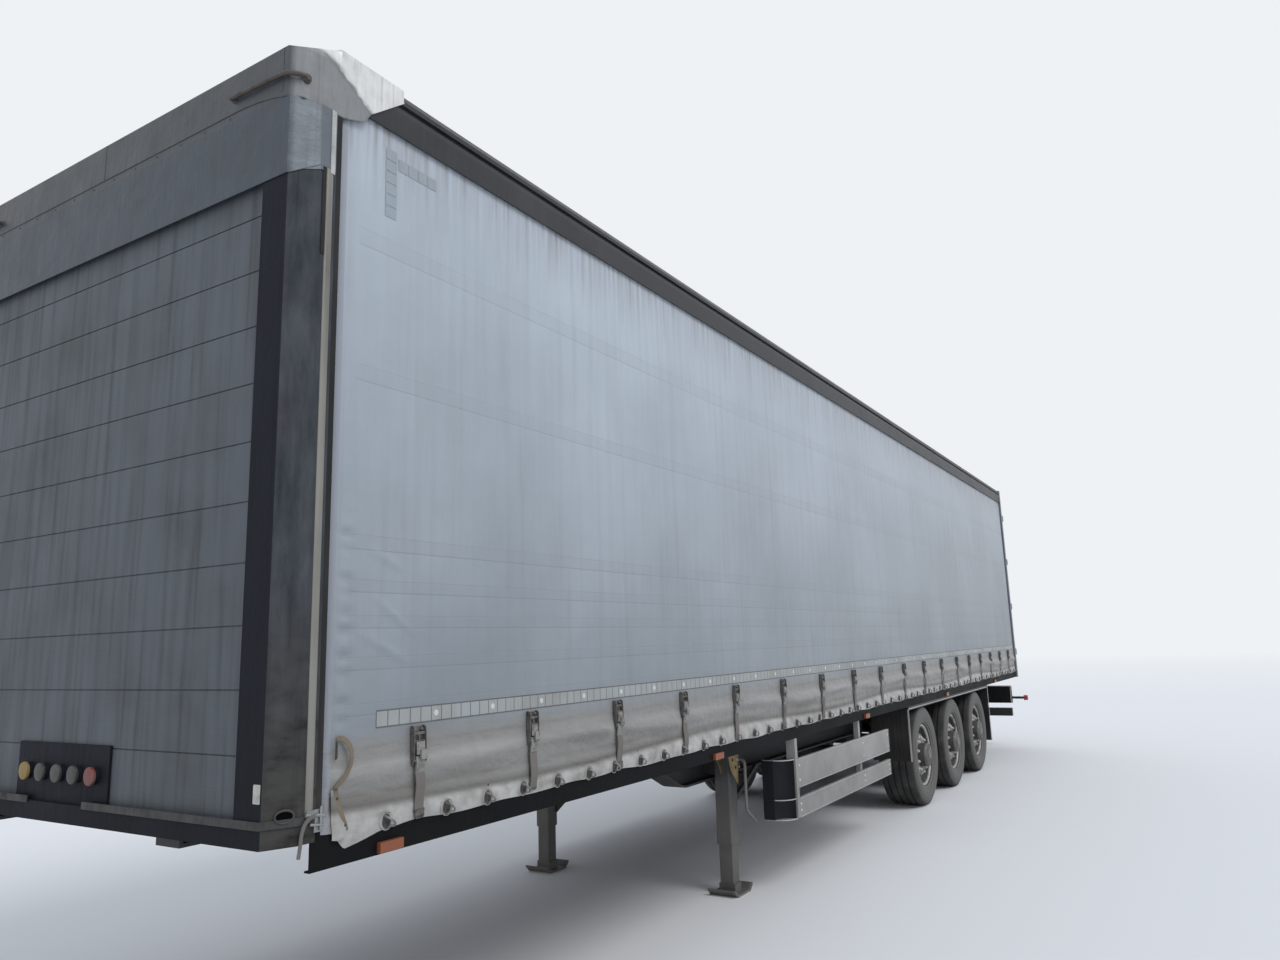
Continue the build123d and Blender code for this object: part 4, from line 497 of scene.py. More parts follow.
def curtain_cloth():
    """Silver coated cloth: paler and bluer high up, where a painted sky reflection joins cleaner cloth;
    darker to the rear, painted shade; warmer and dirtier below the tape; a painted highlight and painted
    shade on the fold above the hem's crease, painted shade with grime in the crease, and a mottled pale hem
    below it that is partly a painted highlight.

    The bands and the straps inside show as shallow steps whose edges are stitched and slightly darker.
    """
    material = finish(
        "curtain_cloth", (0.5, 0.5, 0.5), 0.45, shine=0.35, dirt=(0.17, 0.155, 0.135), amount=0.85,
        low=0.55, height=0.75, streaks=0.16, patches=0.10, scale=0.8)
    tree = material.node_tree
    place = coordinates(tree)
    station, _, z = axes_of(tree)
    cloud = noise(place, 0.9, 5.0)
    # Paler and bluer with height: less dirt low down, and a painted sky reflection on the upper cloth.
    sheen_and_dirt_rise = (cloud * 0.35 + ramp(z, 1.2, 3.7) * 0.8).clamped()
    base = mixed(sheen_and_dirt_rise, (0.175, 0.200, 0.218), (0.46, 0.515, 0.575))
    # Darker towards the rear: painted shade.
    base = mixed(ramp(station, 3.0, 11.5) * 0.30, base, (0.14, 0.145, 0.15))
    steps = stitches = straps = 0.0
    for level, half in BANDS:
        off = abs(z - level)
        steps = ramp(off, half + 0.003, half - 0.003) + steps
        stitches = ramp(abs(off - half), 0.004, 0.0) + stitches
    started = ramp(station, 0.30, 0.32)
    steps, stitches = steps * started, stitches * started
    for buckle in buckle_stations.tolist():
        straps = ramp(abs(station - (buckle - 0.01)), 0.025, 0.020) + straps
    worn = cloud * 0.9 + 0.35
    marks = ((steps * 0.07 + (stitches * 0.22 + straps * 0.055)) * worn).clamped()
    base = mixed(marks, base, (0.16, 0.165, 0.175))
    foot = ramp(z, 1.47, 1.40)
    base = mixed(foot * 0.85, base, (0.250, 0.240, 0.222))
    drawn = noise(pulled(place, (1.3, 1.0, 9.0)), 2.0, 3.0)
    # Painted highlight and painted shade across the fold above the hem's crease.
    for level, half, strength, shade in PAINTED_FOLD_STRIPES:
        base = mixed((ramp(abs(z - level), half, 0.0) * drawn * strength).clamped(), base, shade)
    wave = ((station + FRONT_X) * CREASE_TURN[0] + CREASE_TURN[1]).apply("SINE")
    above = z - (wave * CREASE_RISE + CREASE_Z)
    # Below the crease the hem is mottled and pale: soiling, and a painted highlight on its upturned flare.
    hem_mottle_and_highlight = mixed(noise(place, 11.0, 5.0), (0.27, 0.26, 0.24), (0.58, 0.575, 0.555))
    base = mixed(ramp(above, 0.004, -0.012) * 0.85, base, hem_mottle_and_highlight)
    # A dark line along the crease: painted shade in the crease, with some grime.
    crease_shade_and_grime = (ramp(abs(above - 0.010), 0.030, 0.0) * (cloud * 0.55 + 0.45)).clamped()
    base = mixed(crease_shade_and_grime, base, (0.075, 0.062, 0.050))
    runs = noise(pulled(place, (34.0, 1.0, 1.6)), 1.0, 4.0) ** 1.6
    stain = (runs * ramp(z, 3.40, 3.80) ** 1.5 * 0.75).clamped()
    base = mixed(stain, base, (0.175, 0.150, 0.135))
    feed(material, mixed(ramp(station, 0.249, 0.244) * 0.8, base, (0.27, 0.29, 0.33)), "Color", "aged")
    fine = noise(pulled(place, (9.0, 1.0, 0.9)), 2.4, 6.0)
    wrinkles = noise(place, 7.0, 5.0)
    crumple = noise(pulled(place, (1.0, 1.0, 2.2)), 9.0, 3.0) * foot
    weave = step(tree, "ShaderNodeTexNoise", {"Vector": place, "Scale": 420.0, "Detail": 1.0})
    height = steps * 0.30 + straps * 0.12 + stitches * -0.35 + wrinkles * 0.55 + fine * 0.35 + crumple * 2.4
    tree.nodes["Principled BSDF"].inputs["Sheen Weight"].default_value = 0.15
    return roughen(material, height + Value(weave.outputs[0]) * 0.04, 0.0022)


cloth_finish = curtain_cloth()
for side, side_name in SIDES:
    curtain(f"cloth_{side_name}", side, cloth_finish)

# Roof sheet: pale coated cloth drawn over the bows and hemmed to both rails, slack between the bows.
# Dust and rain have left clouded stains on it.
ROOF_LOW, ROOF_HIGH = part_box("roof_sheet")
BOWS_LOW, BOWS_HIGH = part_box("roof_bows")
HALF_BOW, BAYS = 0.020, 19
BOW_PITCH = (BOWS_HIGH[0] - BOWS_LOW[0] - 2 * HALF_BOW) / BAYS
ROOF_SAG = 0.007


def roof_cloth(name, material):
    """Top height less a sag of sin squared between the bows, which dies away towards both rails."""
    along, across = np.linspace(ROOF_LOW[0], ROOF_HIGH[0], 420), np.linspace(ROOF_LOW[1], ROOF_HIGH[1], 26)
    x, y = np.meshgrid(along, across, indexing="ij")
    between = np.sin(pi * (x - BOWS_LOW[0] - HALF_BOW) / BOW_PITCH) ** 2
    slack = 1 + 0.5 * np.sin(1.7 * x + 1.1 * y) + 0.4 * np.sin(4.3 * x - 2.1 * y)
    z = ROOF_HIGH[2] + 0.0012 - ROOF_SAG * between * (1 - (y / ROOF_HIGH[1]) ** 4) * slack
    made = piece(name, [(np.stack((x - FRONT_X, y, z), -1), grid_quads(*x.shape))], material,
                 stands_for=["roof_sheet"], slot="roof_fabric", weld=False)


roof_finish = pit(finish(
    "roof_cloth", (0.56, 0.58, 0.60), 0.5, dirt=(0.16, 0.155, 0.15), amount=0.9, low=0.0, patches=0.5,
    streaks=0.15, scale=0.7), 6, 0.002)
roof_cloth("roof_cloth", roof_finish)

# Front head: the cap's rolled edge, lapped seams, rivets and turned-back ends in the same bare sheet,
# with a dark steel stay bolted round each corner.
CREASE_FROM, CREASE_TO = (0.165, 3.934), (0.319, 3.826)
CAP_FOOT_Z = 3.735
CAP_ARC = (0.913, 1.213)


def build_bare_sheet():
    """Weathered sheet, dark ahead as painted shade of the front face, and near white behind a raised slanting
    crease as a painted highlight, where its sides tip inwards.

    Height = fine noise + a ridge along the crease - a slope times the distance behind it.
    """
    material = finish(
        "bare_sheet", (0.44, 0.445, 0.445), 0.42, 0.35, dirt=(0.09, 0.088, 0.085), amount=0.85, low=0.0,
        patches=0.35, streaks=0.25, scale=3)
    place = coordinates(material.node_tree)
    station, _, z = axes_of(material.node_tree)
    run, drop = CREASE_TO[0] - CREASE_FROM[0], CREASE_TO[1] - CREASE_FROM[1]
    long = float(np.hypot(run, drop))
    behind = (station - CREASE_FROM[0]) * (-drop / long) + (z - CREASE_FROM[1]) * (run / long)
    on_cap = z.apply("GREATER_THAN", CAP_FOOT_Z)
    hem = abs(station - 0.160).apply("LESS_THAN", 0.010)
    # Behind the slanting crease the cap is near white, with a ragged edge: a painted highlight on the facet.
    ragged = noise(place, 26.0, 4.0) * 0.014 + (behind - 0.007)
    lit_behind_crease = mixed(ramp(ragged, -0.006, 0.008), (0.245, 0.25, 0.255), (0.80, 0.80, 0.79))
    side = mixed(on_cap, mixed(hem, (0.135, 0.155, 0.175), (0.50, 0.50, 0.50)), lit_behind_crease)
    # The front face of cap and shroud is dark: painted shade.
    front_shade = mixed(on_cap, (0.055, 0.070, 0.088), (0.072, 0.080, 0.088))
    feed(material, mixed(ramp(station, 0.022, 0.004), side, front_shade), "Color", "aged")
    ridge = (abs(behind) ** 2.0 * (-1 / 0.011**2)).apply("EXPONENT")
    fold = (ridge * 0.0048 + behind.apply("MAXIMUM", 0.0) * -0.20) * on_cap
    brushed = noise(pulled(place, (60.0, 60.0, 2.0)), 1.5, 5.0)
    return roughen(material, brushed * 0.0004 + (noise(place, 7.0, 5.0) * 0.0030 + fold), 1.0)


def boxes(*spans):
    """Plain boxes from rows of low x, y, z and high x, y, z, every quad facing out."""
    corners = np.array(spans, float).reshape(-1, 2, 3)
    pick = np.array([[0, 0, 0], [1, 0, 0], [1, 1, 0], [0, 1, 0], [0, 0, 1], [1, 0, 1], [1, 1, 1], [0, 1, 1]])
    faces = np.array([[0, 3, 2, 1], [4, 5, 6, 7], [0, 1, 5, 4], [1, 2, 6, 5], [2, 3, 7, 6], [3, 0, 4, 7]])
    starts = 8 * np.arange(len(corners))[:, None, None]
    return corners[:, pick, np.arange(3)], (faces + starts).reshape(-1, 4)


def circle(radius, sides=8, flat=1.0):
    """A closed section of points round a circle, or an ellipse where flat isn't one."""
    turn = np.linspace(0, 2 * pi, sides, endpoint=False)
    return np.stack((radius * np.cos(turn), radius * flat * np.sin(turn)), -1)


def strip(width, depth):
    """A closed rectangular section, width across the path and depth along its normal."""
    return np.array([(-width, -depth), (width, -depth), (width, depth), (-width, depth)]) / 2


def closed(rings):
    """A row of rings skinned over, each end drawn in to its middle."""
    ends = [np.repeat(rings[index].mean(0)[None, None], rings.shape[1], axis=1) for index in (0, -1)]
    points = np.concatenate([ends[0], rings, ends[1]])
    return points, grid_quads(*points.shape[:2], wrap_columns=True)


def carried(path, section, normal=(0.0, 1.0, 0.0)):
    """A closed section carried square to a path, at each point across the tangent and along the normal."""
    path = np.array(path, float)
    tangent = np.gradient(path, axis=0)
    across = np.cross(tangent, normal)
    across /= np.linalg.norm(across, axis=1, keepdims=True)
    out = np.cross(across, tangent)
    out /= np.linalg.norm(out, axis=1, keepdims=True)
    return closed(path[:, None] + section[:, :1] * across[:, None] + section[:, 1:] * out[:, None])


def bent(points, count=24):
    """A smooth path through a few points: Catmull-Rom spans, with the end points doubled."""
    knots = np.array([points[0], *points, points[-1]], float)
    spans = len(points) - 1
    place = np.linspace(0, spans, count)
    index = np.minimum(place.astype(int), spans - 1)
    t = (place - index)[:, None]
    a, b, c, d = (knots[index + shift] for shift in range(4))
    return 0.5 * (2 * b + (c - a) * t + (2 * a - 5 * b + 4 * c - d) * t**2 + (3 * b - a - 3 * c + d) * t**3)


def turned(profile, sides, axis=1, centre=(0.0, 0.0, 0.0)):
    """Rows of place along an axis and radius, carried round it: radius x (cos, sin) of each turn."""
    along, radius = np.array(profile, float).T
    turn = np.linspace(0, 2 * pi, sides, endpoint=False)[:, None]
    rings = np.stack(np.broadcast_arrays(along, radius * np.cos(turn), radius * np.sin(turn)), -1)
    return np.roll(rings, axis, axis=-1) + centre, grid_quads(sides, len(along), wrap_rows=True)


def copies(shape, places):
    """A shape repeated at each place."""
    points = shape[0].reshape(-1, 3)
    places = np.array(places, float).reshape(-1, 1, 3)
    starts = len(points) * np.arange(len(places))[:, None, None]
    return points + places, (shape[1] + starts).reshape(-1, 4)


def on_side(shape, side):
    """A left-hand shape as it is, or its mirror image on the right."""
    return shape if side < 0 else (shape[0] * (1, -1, 1), shape[1][:, ::-1])


def mirrored(*shapes):
    """Left-hand shapes followed by their mirror images on the right."""
    return [on_side(shape, side) for side in (-1, 1) for shape in shapes]


def heads(places, axis, radius=0.006, height=0.003, sides=8):
    """Domed rivet heads standing out along minus the axis."""
    profile = ((0.001, radius), (-0.6 * height, 0.85 * radius), (-height, 0.45 * radius), (-height, 0.0))
    return copies(turned(profile, sides, axis), places)


def cap_edge():
    """The cap's lower edge, its left half: flat, down an arc, round the corner and up along the side.

    On the arc the height drops as a power of the share of the way out to the corner.
    """
    y = np.linspace(0, CAP_ARC[1], 26)
    share = np.clip((y - CAP_ARC[0]) / (CAP_ARC[1] - CAP_ARC[0]), 0, 1)
    front = np.stack((0 * y - 0.001, -y, 3.769 - 0.039 * share**2.12), -1)
    side = [(0.040, -1.254, 3.730), (0.209, -1.2690, 3.730), (0.304, -1.2790, 3.760), (0.332, -1.2800, 3.805),
            (0.505, -1.2800, 3.945)]
    return np.concatenate([front, side])


bare_sheet = build_bare_sheet()
dress(bare_sheet, "front_cap", "front_shroud")
seams = boxes((-0.0012, -1.190, 3.758, 0.002, -1.177, 3.934), (-0.0012, -0.004, 3.771, 0.002, 0.0, 3.934),
              (0.150, -1.2815, 3.474, 0.170, -1.277, 3.729))
seam_rivets = heads([(0.160, -1.2815, z) for z in (3.52, 3.585, 3.65, 3.71)], 1, 0.004, 0.002)
arch_rivets = heads([(-0.001, y, 3.752) for y in np.linspace(-0.88, -0.08, 6)], 0, 0.0045, 0.0022)
piece("cap_edges", mirrored(carried(cap_edge(), circle(0.0022, 6), (0.3, 1.0, 0.2)), seams, seam_rivets,
                            arch_rivets), bare_sheet, slot="bare_aluminium")
dark_steel = pit(finish(
    "dark_steel", (0.045, 0.042, 0.04), 0.4, 0.3, dirt=(0.13, 0.11, 0.09), amount=0.9, low=0.2, patches=0.8,
    streaks=0.2, scale=9), 160, 0.0003)
stay_steel = pit(finish(
    "stay_steel", (0.095, 0.085, 0.075), 0.45, 0.4, dirt=(0.07, 0.055, 0.045), amount=0.9, low=0.2,
    patches=0.9, streaks=0.1, scale=8), 160, 0.0003)
stay_path = bent([(0.049, -1.264, 3.810), (0.034, -1.263, 3.812), (0.010, -1.246, 3.813),
                  (-0.010, -1.219, 3.814), (-0.013, -1.150, 3.817), (-0.013, -0.902, 3.8265)], 30)
stay = carried(stay_path, circle(0.0092, 12), (0.0, 0.0, 1.0))
boss = ((0.006, 0.019), (-0.004, 0.018), (-0.006, 0.012), (-0.014, 0.011), (-0.016, 0.0))
bolt = ((0.010, 0.016), (-0.002, 0.015), (-0.004, 0.0105), (-0.021, 0.0105), (-0.022, 0.0))
stay_ends = [turned(boss, 16, 1, (0.049, -1.258, 3.810)), turned(bolt, 12, 0, (0.0, -0.902, 3.8265))]
piece("cap_stays", mirrored(stay), stay_steel, slot="bare_steel")
piece("stay_bolts", mirrored(*stay_ends), dark_steel, slot="bare_steel")

# Front posts: dark rolled section with a scuffed grey chamfer, a bright edge strip, a rubber seal and a
# folded nose band over the sill, where a lashing hole, a blank reflector and the curtain's latch sit.
STRIP_S = 0.1515
BAND_Z = 1.205
CHAMFER_START, CHAMFER_Y = np.array((0.004, -1.230, 0.0)), 1.2300
CHAMFER_OUT = np.array((-0.3939, -0.9191, 0.0))
CHAMFER_ALONG = np.array((0.9191, -0.3939, 0.0))
HOLE_ALONG, HOLE_Z = 0.072, 1.226


def build_post_paint():
    """Front face blue-black, chamfer grey and clouded with scuffs, both dirtier towards the sill."""
    material = finish(
        "front_post_paint", (0.1, 0.1, 0.1), 0.5, shine=0.12, dirt=(0.016, 0.015, 0.015), amount=0.9,
        low=3.2, height=0.55, streaks=0.35, patches=0.25, scale=1.6)
    place = coordinates(material.node_tree)
    _, y, z = axes_of(material.node_tree)
    facet = ramp(abs(y), CHAMFER_Y, CHAMFER_Y + 0.0012)
    scuffs = noise(pulled(place, (3.0, 3.0, 0.8)), 5.0, 8.0, 0.62)
    grey = mixed(scuffs, (0.030, 0.036, 0.045), (0.085, 0.092, 0.102))
    low = ramp(z, 2.0, 1.25)
    smudge = (noise(pulled(place, (5.0, 5.0, 11.0)), 1.6, 6.0) ** 2.2 * low).clamped()
    grey = mixed(smudge, mixed(low, grey, (0.075, 0.072, 0.066)), (0.008, 0.008, 0.009))
    feed(material, mixed(facet, (0.007, 0.010, 0.018), grey), "Color", "aged")
    return pit(material, 40, 0.0005)


def on_chamfer(along, height, out):
    """Places on the post's chamfer: metres along it from the nose's corner, height and metres proud."""
    along, height, out = (value[..., None] for value in np.broadcast_arrays(along, height, out))
    return CHAMFER_START + along * CHAMFER_ALONG + out * CHAMFER_OUT + height * np.array((0.0, 0.0, 1.0))


def shroud_skirt():
    """The shroud's lower edge on the chamfer, which climbs from the nose to the rear hem."""
    along = np.array((0.0, 0.036, 0.070, 0.099, 0.1155))
    low = np.array((3.430, 3.448, 3.459, 3.466, 3.471))
    corners = ((low, 0.0004), (low, 0.0030), (3.530, 0.0030), (3.530, 0.0004))
    return closed(np.stack([on_chamfer(along, height, out) for height, out in corners], 1))


skirt_side = boxes((0.1095, -1.2785, 3.472, 0.160, -1.2765, 3.530))
piece("shroud_skirts", mirrored(shroud_skirt(), skirt_side), bare_sheet)
dress(build_post_paint(), "front_post_left", "front_post_right", "front_sill")
strip_metal = pit(finish(
    "strip_metal", (0.27, 0.26, 0.235), 0.42, 0.4, dirt=(0.085, 0.078, 0.068), amount=0.9, low=0.8,
    height=0.6, patches=0.5, streaks=0.5), 60, 0.0003, stretch=(1, 1, 0.1))
nose_paint = pit(finish(
    "nose_paint", (0.060, 0.060, 0.060), 0.45, 0.1, shine=0.35, dirt=(0.025, 0.022, 0.02), amount=0.9,
    low=0.9, height=0.8, patches=0.7, streaks=0.3, scale=4), 60, 0.0005)
# Flat black for the lashing holes: painted shade inside them.
hole_shade_black = finish("hole_shade_black", (0.003, 0.003, 0.003), 0.7, shine=0.02, amount=0.0)
pale_lens = finish(
    "pale_lens", (0.62, 0.61, 0.58), 0.25, dirt=(0.25, 0.23, 0.2), amount=0.8, patches=0.6, scale=9)
webbing = pit(finish(
    "webbing", (0.155, 0.145, 0.135), 0.8, dirt=(0.08, 0.07, 0.06), amount=0.8, low=0.4, patches=0.5,
    streaks=0.2, scale=7), 300, 0.0006)
edge_strip = carried([(STRIP_S, -1.2752, z) for z in np.linspace(1.222, 3.488, 12)], circle(0.0155, 14, 0.36))
piece("post_strips", mirrored(edge_strip), strip_metal)
seal = boxes((0.1685, -1.2735, 1.21, 0.2035, -1.2560, 3.725), (0.119, -1.2790, 3.150, 0.1345, -1.2740, 3.488))
piece("post_seals", mirrored(seal), black_rubber)
band_path = [(s, y, BAND_Z) for s, y in (
    (0, -0.20), (0, -1.10), (0, -1.2290), (0.105, -1.2775), (0.178, -1.2775))]
turn = np.linspace(0, 2 * pi, 25)
oval = on_chamfer(HOLE_ALONG + 0.030 * np.cos(turn), HOLE_Z + 0.0195 * np.sin(turn), 0.005)
oval_ring = carried(np.concatenate([oval, oval[1:2]]), circle(0.0042, 8), CHAMFER_OUT)
piece("nose_bands", mirrored(carried(band_path, strip(0.005, 0.026), (0.0, 0.0, 1.0)), oval_ring), nose_paint)
latch = boxes((0.138, -1.2840, 1.206, 0.172, -1.2760, 1.232), (0.172, -1.2800, 1.160, 0.203, -1.2600, 1.232))
latch_bars = [carried([(s, -1.283, z) for s, z in ((0.132, 1.219), (0.178, 1.215), (0.214, 1.207))],
                      circle(0.006)),
              carried([(0.193, -1.284, z) for z in (1.165, 1.20, 1.240)], circle(0.0045)),
              carried([(s, -1.283, z) for s, z in ((0.152, 1.188), (0.205, 1.180))], circle(0.005))]
piece("post_latches", mirrored(latch, *latch_bars), galvanised, bevel=0.0012)
share = np.array((0.0, 1.0, 1.0, 0.0))[:, None]
hole = on_chamfer(HOLE_ALONG + share * 0.027 * np.cos(turn), HOLE_Z + share * 0.0165 * np.sin(turn),
                  np.array((-0.001, -0.001, 0.0035, 0.0035))[:, None])
piece("post_holes", mirrored((hole, grid_quads(4, 25))), hole_shade_black)
reflector = boxes((-0.0015, -1.2270, 1.271, 0.005, -1.1950, 1.331))
piece("front_reflectors", mirrored(reflector), pale_lens, bevel=0.003)
tail = [(0.176, -1.286, 1.214), (0.150, -1.290, 1.212), (0.128, -1.290, 1.196), (0.117, -1.288, 1.165),
        (0.113, -1.287, 1.125), (0.106, -1.289, 1.092)]
piece("latch_tails", mirrored(carried(bent(tail), strip(0.013, 0.003))), webbing)

# Curtain trim: square tapes along the foot and in an angle at the head, welded on, and at the front
# corner a beige lashing loop on its staple, a riveted strip and the loose corner of the cloth.
TAPE_START, TAPE_END, TAPE_PITCH, TAPE_CELL = 0.4475, 13.44, 0.0552, 0.0515
TAPE_Z = (1.468, 1.521)
MARK_START, MARK_EVERY = 0.748, 6


def patches(starts, size, side, out):
    """Patches lying on the cloth: three by two quads over each span from a start, a little proud."""
    s = starts[:, 0, None, None] + size[0] * np.linspace(0, 1, 4)[:, None]
    z = starts[:, 1, None, None] + size[1] * np.linspace(0, 1, 3)
    s, z = np.broadcast_arrays(s, z)
    quads = grid_quads(4, 3) if side < 0 else grid_quads(4, 3)[:, ::-1]
    starts_at = 12 * np.arange(len(starts))[:, None, None]
    return curtain_point(s, z, side, out), (quads + starts_at).reshape(-1, 4)


def tape_finish(name, colour):
    """Retroreflective film: pale, finely cellular and dusty."""
    return pit(finish(
        name, colour, 0.32, dirt=(0.24, 0.225, 0.2), amount=0.9, low=0.8, height=1.2, patches=0.35,
        streaks=0.2), 500, 0.0002)


tape_film = tape_finish("tape_film", (0.35, 0.375, 0.38))
tape_backing = finish(
    "tape_backing", (0.12, 0.125, 0.13), 0.5, dirt=(0.09, 0.085, 0.08), amount=0.8, patches=0.4)
angle_film = tape_finish("angle_film", (0.30, 0.35, 0.385))
mark_film = finish("mark_film", (0.62, 0.63, 0.62), 0.25, dirt=(0.4, 0.38, 0.35), amount=0.5, patches=0.4)
row = np.array([(s, TAPE_Z[0]) for s in np.arange(TAPE_START, TAPE_END, TAPE_PITCH)])
marks = np.arange(MARK_START, TAPE_END, MARK_EVERY * TAPE_PITCH)
mark_disc = turned(((0.0, 0.0), (0.0, 0.0120), (-0.0010, 0.0115), (-0.0010, 0.0)), 14)
upright = np.array([(0.436, 3.430 + 0.0495 * k) for k in range(6)])
level = np.array([(0.503 + 0.0545 * k, 3.652) for k in range(4)])
for side, side_name in SIDES:
    backing = patches(row - (0.002, 0.005), (TAPE_PITCH, TAPE_Z[1] - TAPE_Z[0] + 0.010), side, 0.0008)
    piece(f"tape_backing_{side_name}", [backing], tape_backing, weld=False)
    tapes = patches(row, (TAPE_CELL, TAPE_Z[1] - TAPE_Z[0]), side, 0.0016)
    piece(f"foot_tapes_{side_name}", [tapes], tape_film, weld=False)
    angle = [patches(upright, (0.058, 0.046), side, 0.0016), patches(level, (0.050, 0.050), side, 0.0016)]
    piece(f"head_tapes_{side_name}", angle, angle_film, weld=False)
    places = curtain_point(marks, np.full(len(marks), sum(TAPE_Z) / 2), side, 0.0016)
    piece(f"tape_marks_{side_name}", [copies(on_side(mark_disc, side), places)], mark_film)
beige_strap = pit(finish(
    "beige_strap", (0.19, 0.155, 0.105), 0.65, dirt=(0.13, 0.10, 0.07), amount=0.8, low=0.5, patches=0.7,
    streaks=0.3, scale=9), 260, 0.0004)
loop = bent([(s, -1.2625 - out, z) for s, out, z in (
    (0.268, 0.001, 1.441), (0.284, 0.006, 1.446), (0.307, 0.014, 1.427), (0.319, 0.018, 1.394),
    (0.314, 0.017, 1.352), (0.296, 0.010, 1.315), (0.270, 0.003, 1.291), (0.266, 0.001, 1.280))], 34)
rivet_strip = bent([(s, -1.2640, z) for s, z in (
    (0.267, 1.290), (0.271, 1.262), (0.280, 1.235), (0.296, 1.195), (0.311, 1.160), (0.318, 1.140))], 16)
loops = mirrored(carried(loop, strip(0.016, 0.0028)), carried(rivet_strip, strip(0.017, 0.003)))
piece("lashing_loops", loops, beige_strap)
strap_rivets = heads([(s, -1.2655, z) for s, z in ((0.268, 1.281), (0.274, 1.250), (0.311, 1.158))], 1,
                     0.0055, 0.003, 10)
staple = carried(bent([(0.267, -1.262, 1.432), (0.262, -1.270, 1.428), (0.262, -1.270, 1.386),
                       (0.267, -1.262, 1.380)], 16), strip(0.006, 0.005))
piece("loop_staples", mirrored(strap_rivets, staple), dark_steel)


def loose_corner():
    """The cloth's front corner, blended between four corners and bellied out by sines of both ways."""
    u, v = np.meshgrid(np.linspace(0, 1, 14), np.linspace(0, 1, 18), indexing="ij")
    s = (0.2480 + 0.010 * v) * (1 - u) + (0.2680 + 0.050 * v) * u
    z = (1.278 - 0.160 * v) * (1 - u) + (1.286 - 0.150 * v) * u - 0.010 * np.sin(pi * u) * v
    out = 0.004 + 0.009 * np.sin(pi * u) * v + 0.003 * np.sin(9 * v) * v
    return np.stack((s, -1.2590 - out, z), -1), grid_quads(14, 18)


piece("loose_corners", mirrored(loose_corner()), cloth_finish)

# Hem eyelets: a welded patch round each dark oval ring, with a turned wire staple standing through it.
# The staples are the same worn grey metal as the buckles' levers.
EYELET_FIRST, EYELET_SECOND, EYELET_LAST, EYELET_PITCH = 0.498, 0.797, 13.42, 0.2365
EYELET_Z = 1.140
eyelet_stations = np.array([EYELET_FIRST, *np.arange(EYELET_SECOND, EYELET_LAST, EYELET_PITCH)])
lever_metal = pit(finish(
    "lever_metal", (0.31, 0.30, 0.285), 0.42, 0.3, dirt=(0.09, 0.078, 0.068), amount=0.9, low=0.2,
    patches=0.8, streaks=0.2, scale=14), 160, 0.0003)


def eyelet_shapes():
    """One eyelet at the origin on the left side: patch ridge, metal ring and bent staple."""
    turn = np.linspace(0, 2 * pi, 20, endpoint=False)
    turn = np.append(turn, turn[:2] + 2 * pi)
    ridge = np.stack((0.031 * np.cos(turn), 0 * turn, 0.031 * np.sin(turn)), -1)
    ring = np.stack((0.0145 * np.cos(turn), 0 * turn - 0.002, 0.0205 * np.sin(turn)), -1)
    staple = bent([(-0.009, 0.004, 0.015), (-0.012, -0.016, 0.017), (0.005, -0.026, 0.004),
                   (0.025, -0.020, -0.009), (0.026, -0.012, -0.020), (0.008, 0.003, -0.017)], 14)
    return (carried(ridge, circle(0.0018, 4)), carried(ring, circle(0.0042, 6)),
            carried(staple, circle(0.0042, 6), (1, 0, 1)))


eyelet = (*eyelet_shapes(), turned(((0.0, 0.0), (0.0, 0.0135), (-0.0012, 0.0130), (-0.0012, 0.0)), 12))
for side, side_name in SIDES:
    places = curtain_point(eyelet_stations, np.full(len(eyelet_stations), EYELET_Z), side, 0.001)
    ridge, ring, staple, disc = (copies(on_side(shape, side), places) for shape in eyelet)
    piece(f"hem_eyelets_{side_name}", [ring, disc], dark_steel)
    piece(f"hem_staples_{side_name}", [staple], lever_metal)
    piece(f"eyelet_patches_{side_name}", [ridge], cloth_finish)

# Curtain buckles: pressed steel cheeks on a back plate, an over-centre lever with its tongue, and a
# webbing tail that runs down wavy to a folded hook under the rail. Riveted through the cloth.
BUCKLE_TOP = 1.452
strap_webbing = pit(finish(
    "strap_webbing", (0.15, 0.136, 0.122), 0.85, dirt=(0.18, 0.162, 0.145), amount=0.7, low=0.7, height=0.9,
    patches=0.5, streaks=0.2, scale=8), 350, 0.0006)
frame_metal = pit(finish(
    "frame_metal", (0.16, 0.15, 0.14), 0.45, 0.3, dirt=(0.05, 0.043, 0.038), amount=0.9, low=0.2,
    patches=0.9, streaks=0.2, scale=16), 160, 0.0003)


def outward(*rows):
    """Boxes of a buckle, from rows of low x, z, out and high x, z, out."""
    low_x, low_z, low_out, high_x, high_z, high_out = np.array(rows, float).T
    return boxes(*np.stack((low_x, -high_out, low_z, high_x, -low_out, high_z), -1))


def cheek(x):
    """A cheek plate whose outline is rounded at its top and runs in to the strap at its foot."""
    outline = np.array([(1.452, 0.003), (1.456, 0.012), (1.450, 0.021), (1.400, 0.0225), (1.345, 0.019),
                        (1.318, 0.012), (1.312, 0.003)])
    path = np.stack((np.full(len(outline), x), -outline[:, 1], outline[:, 0]), -1)
    inner = path * (1, 0, 1) + (0, -0.002, 0)
    half = (0.0018, 0, 0)
    grid = np.stack((path - half, path + half, inner + half, inner - half), 1)
    return grid, grid_quads(len(outline), 4, wrap_columns=True)


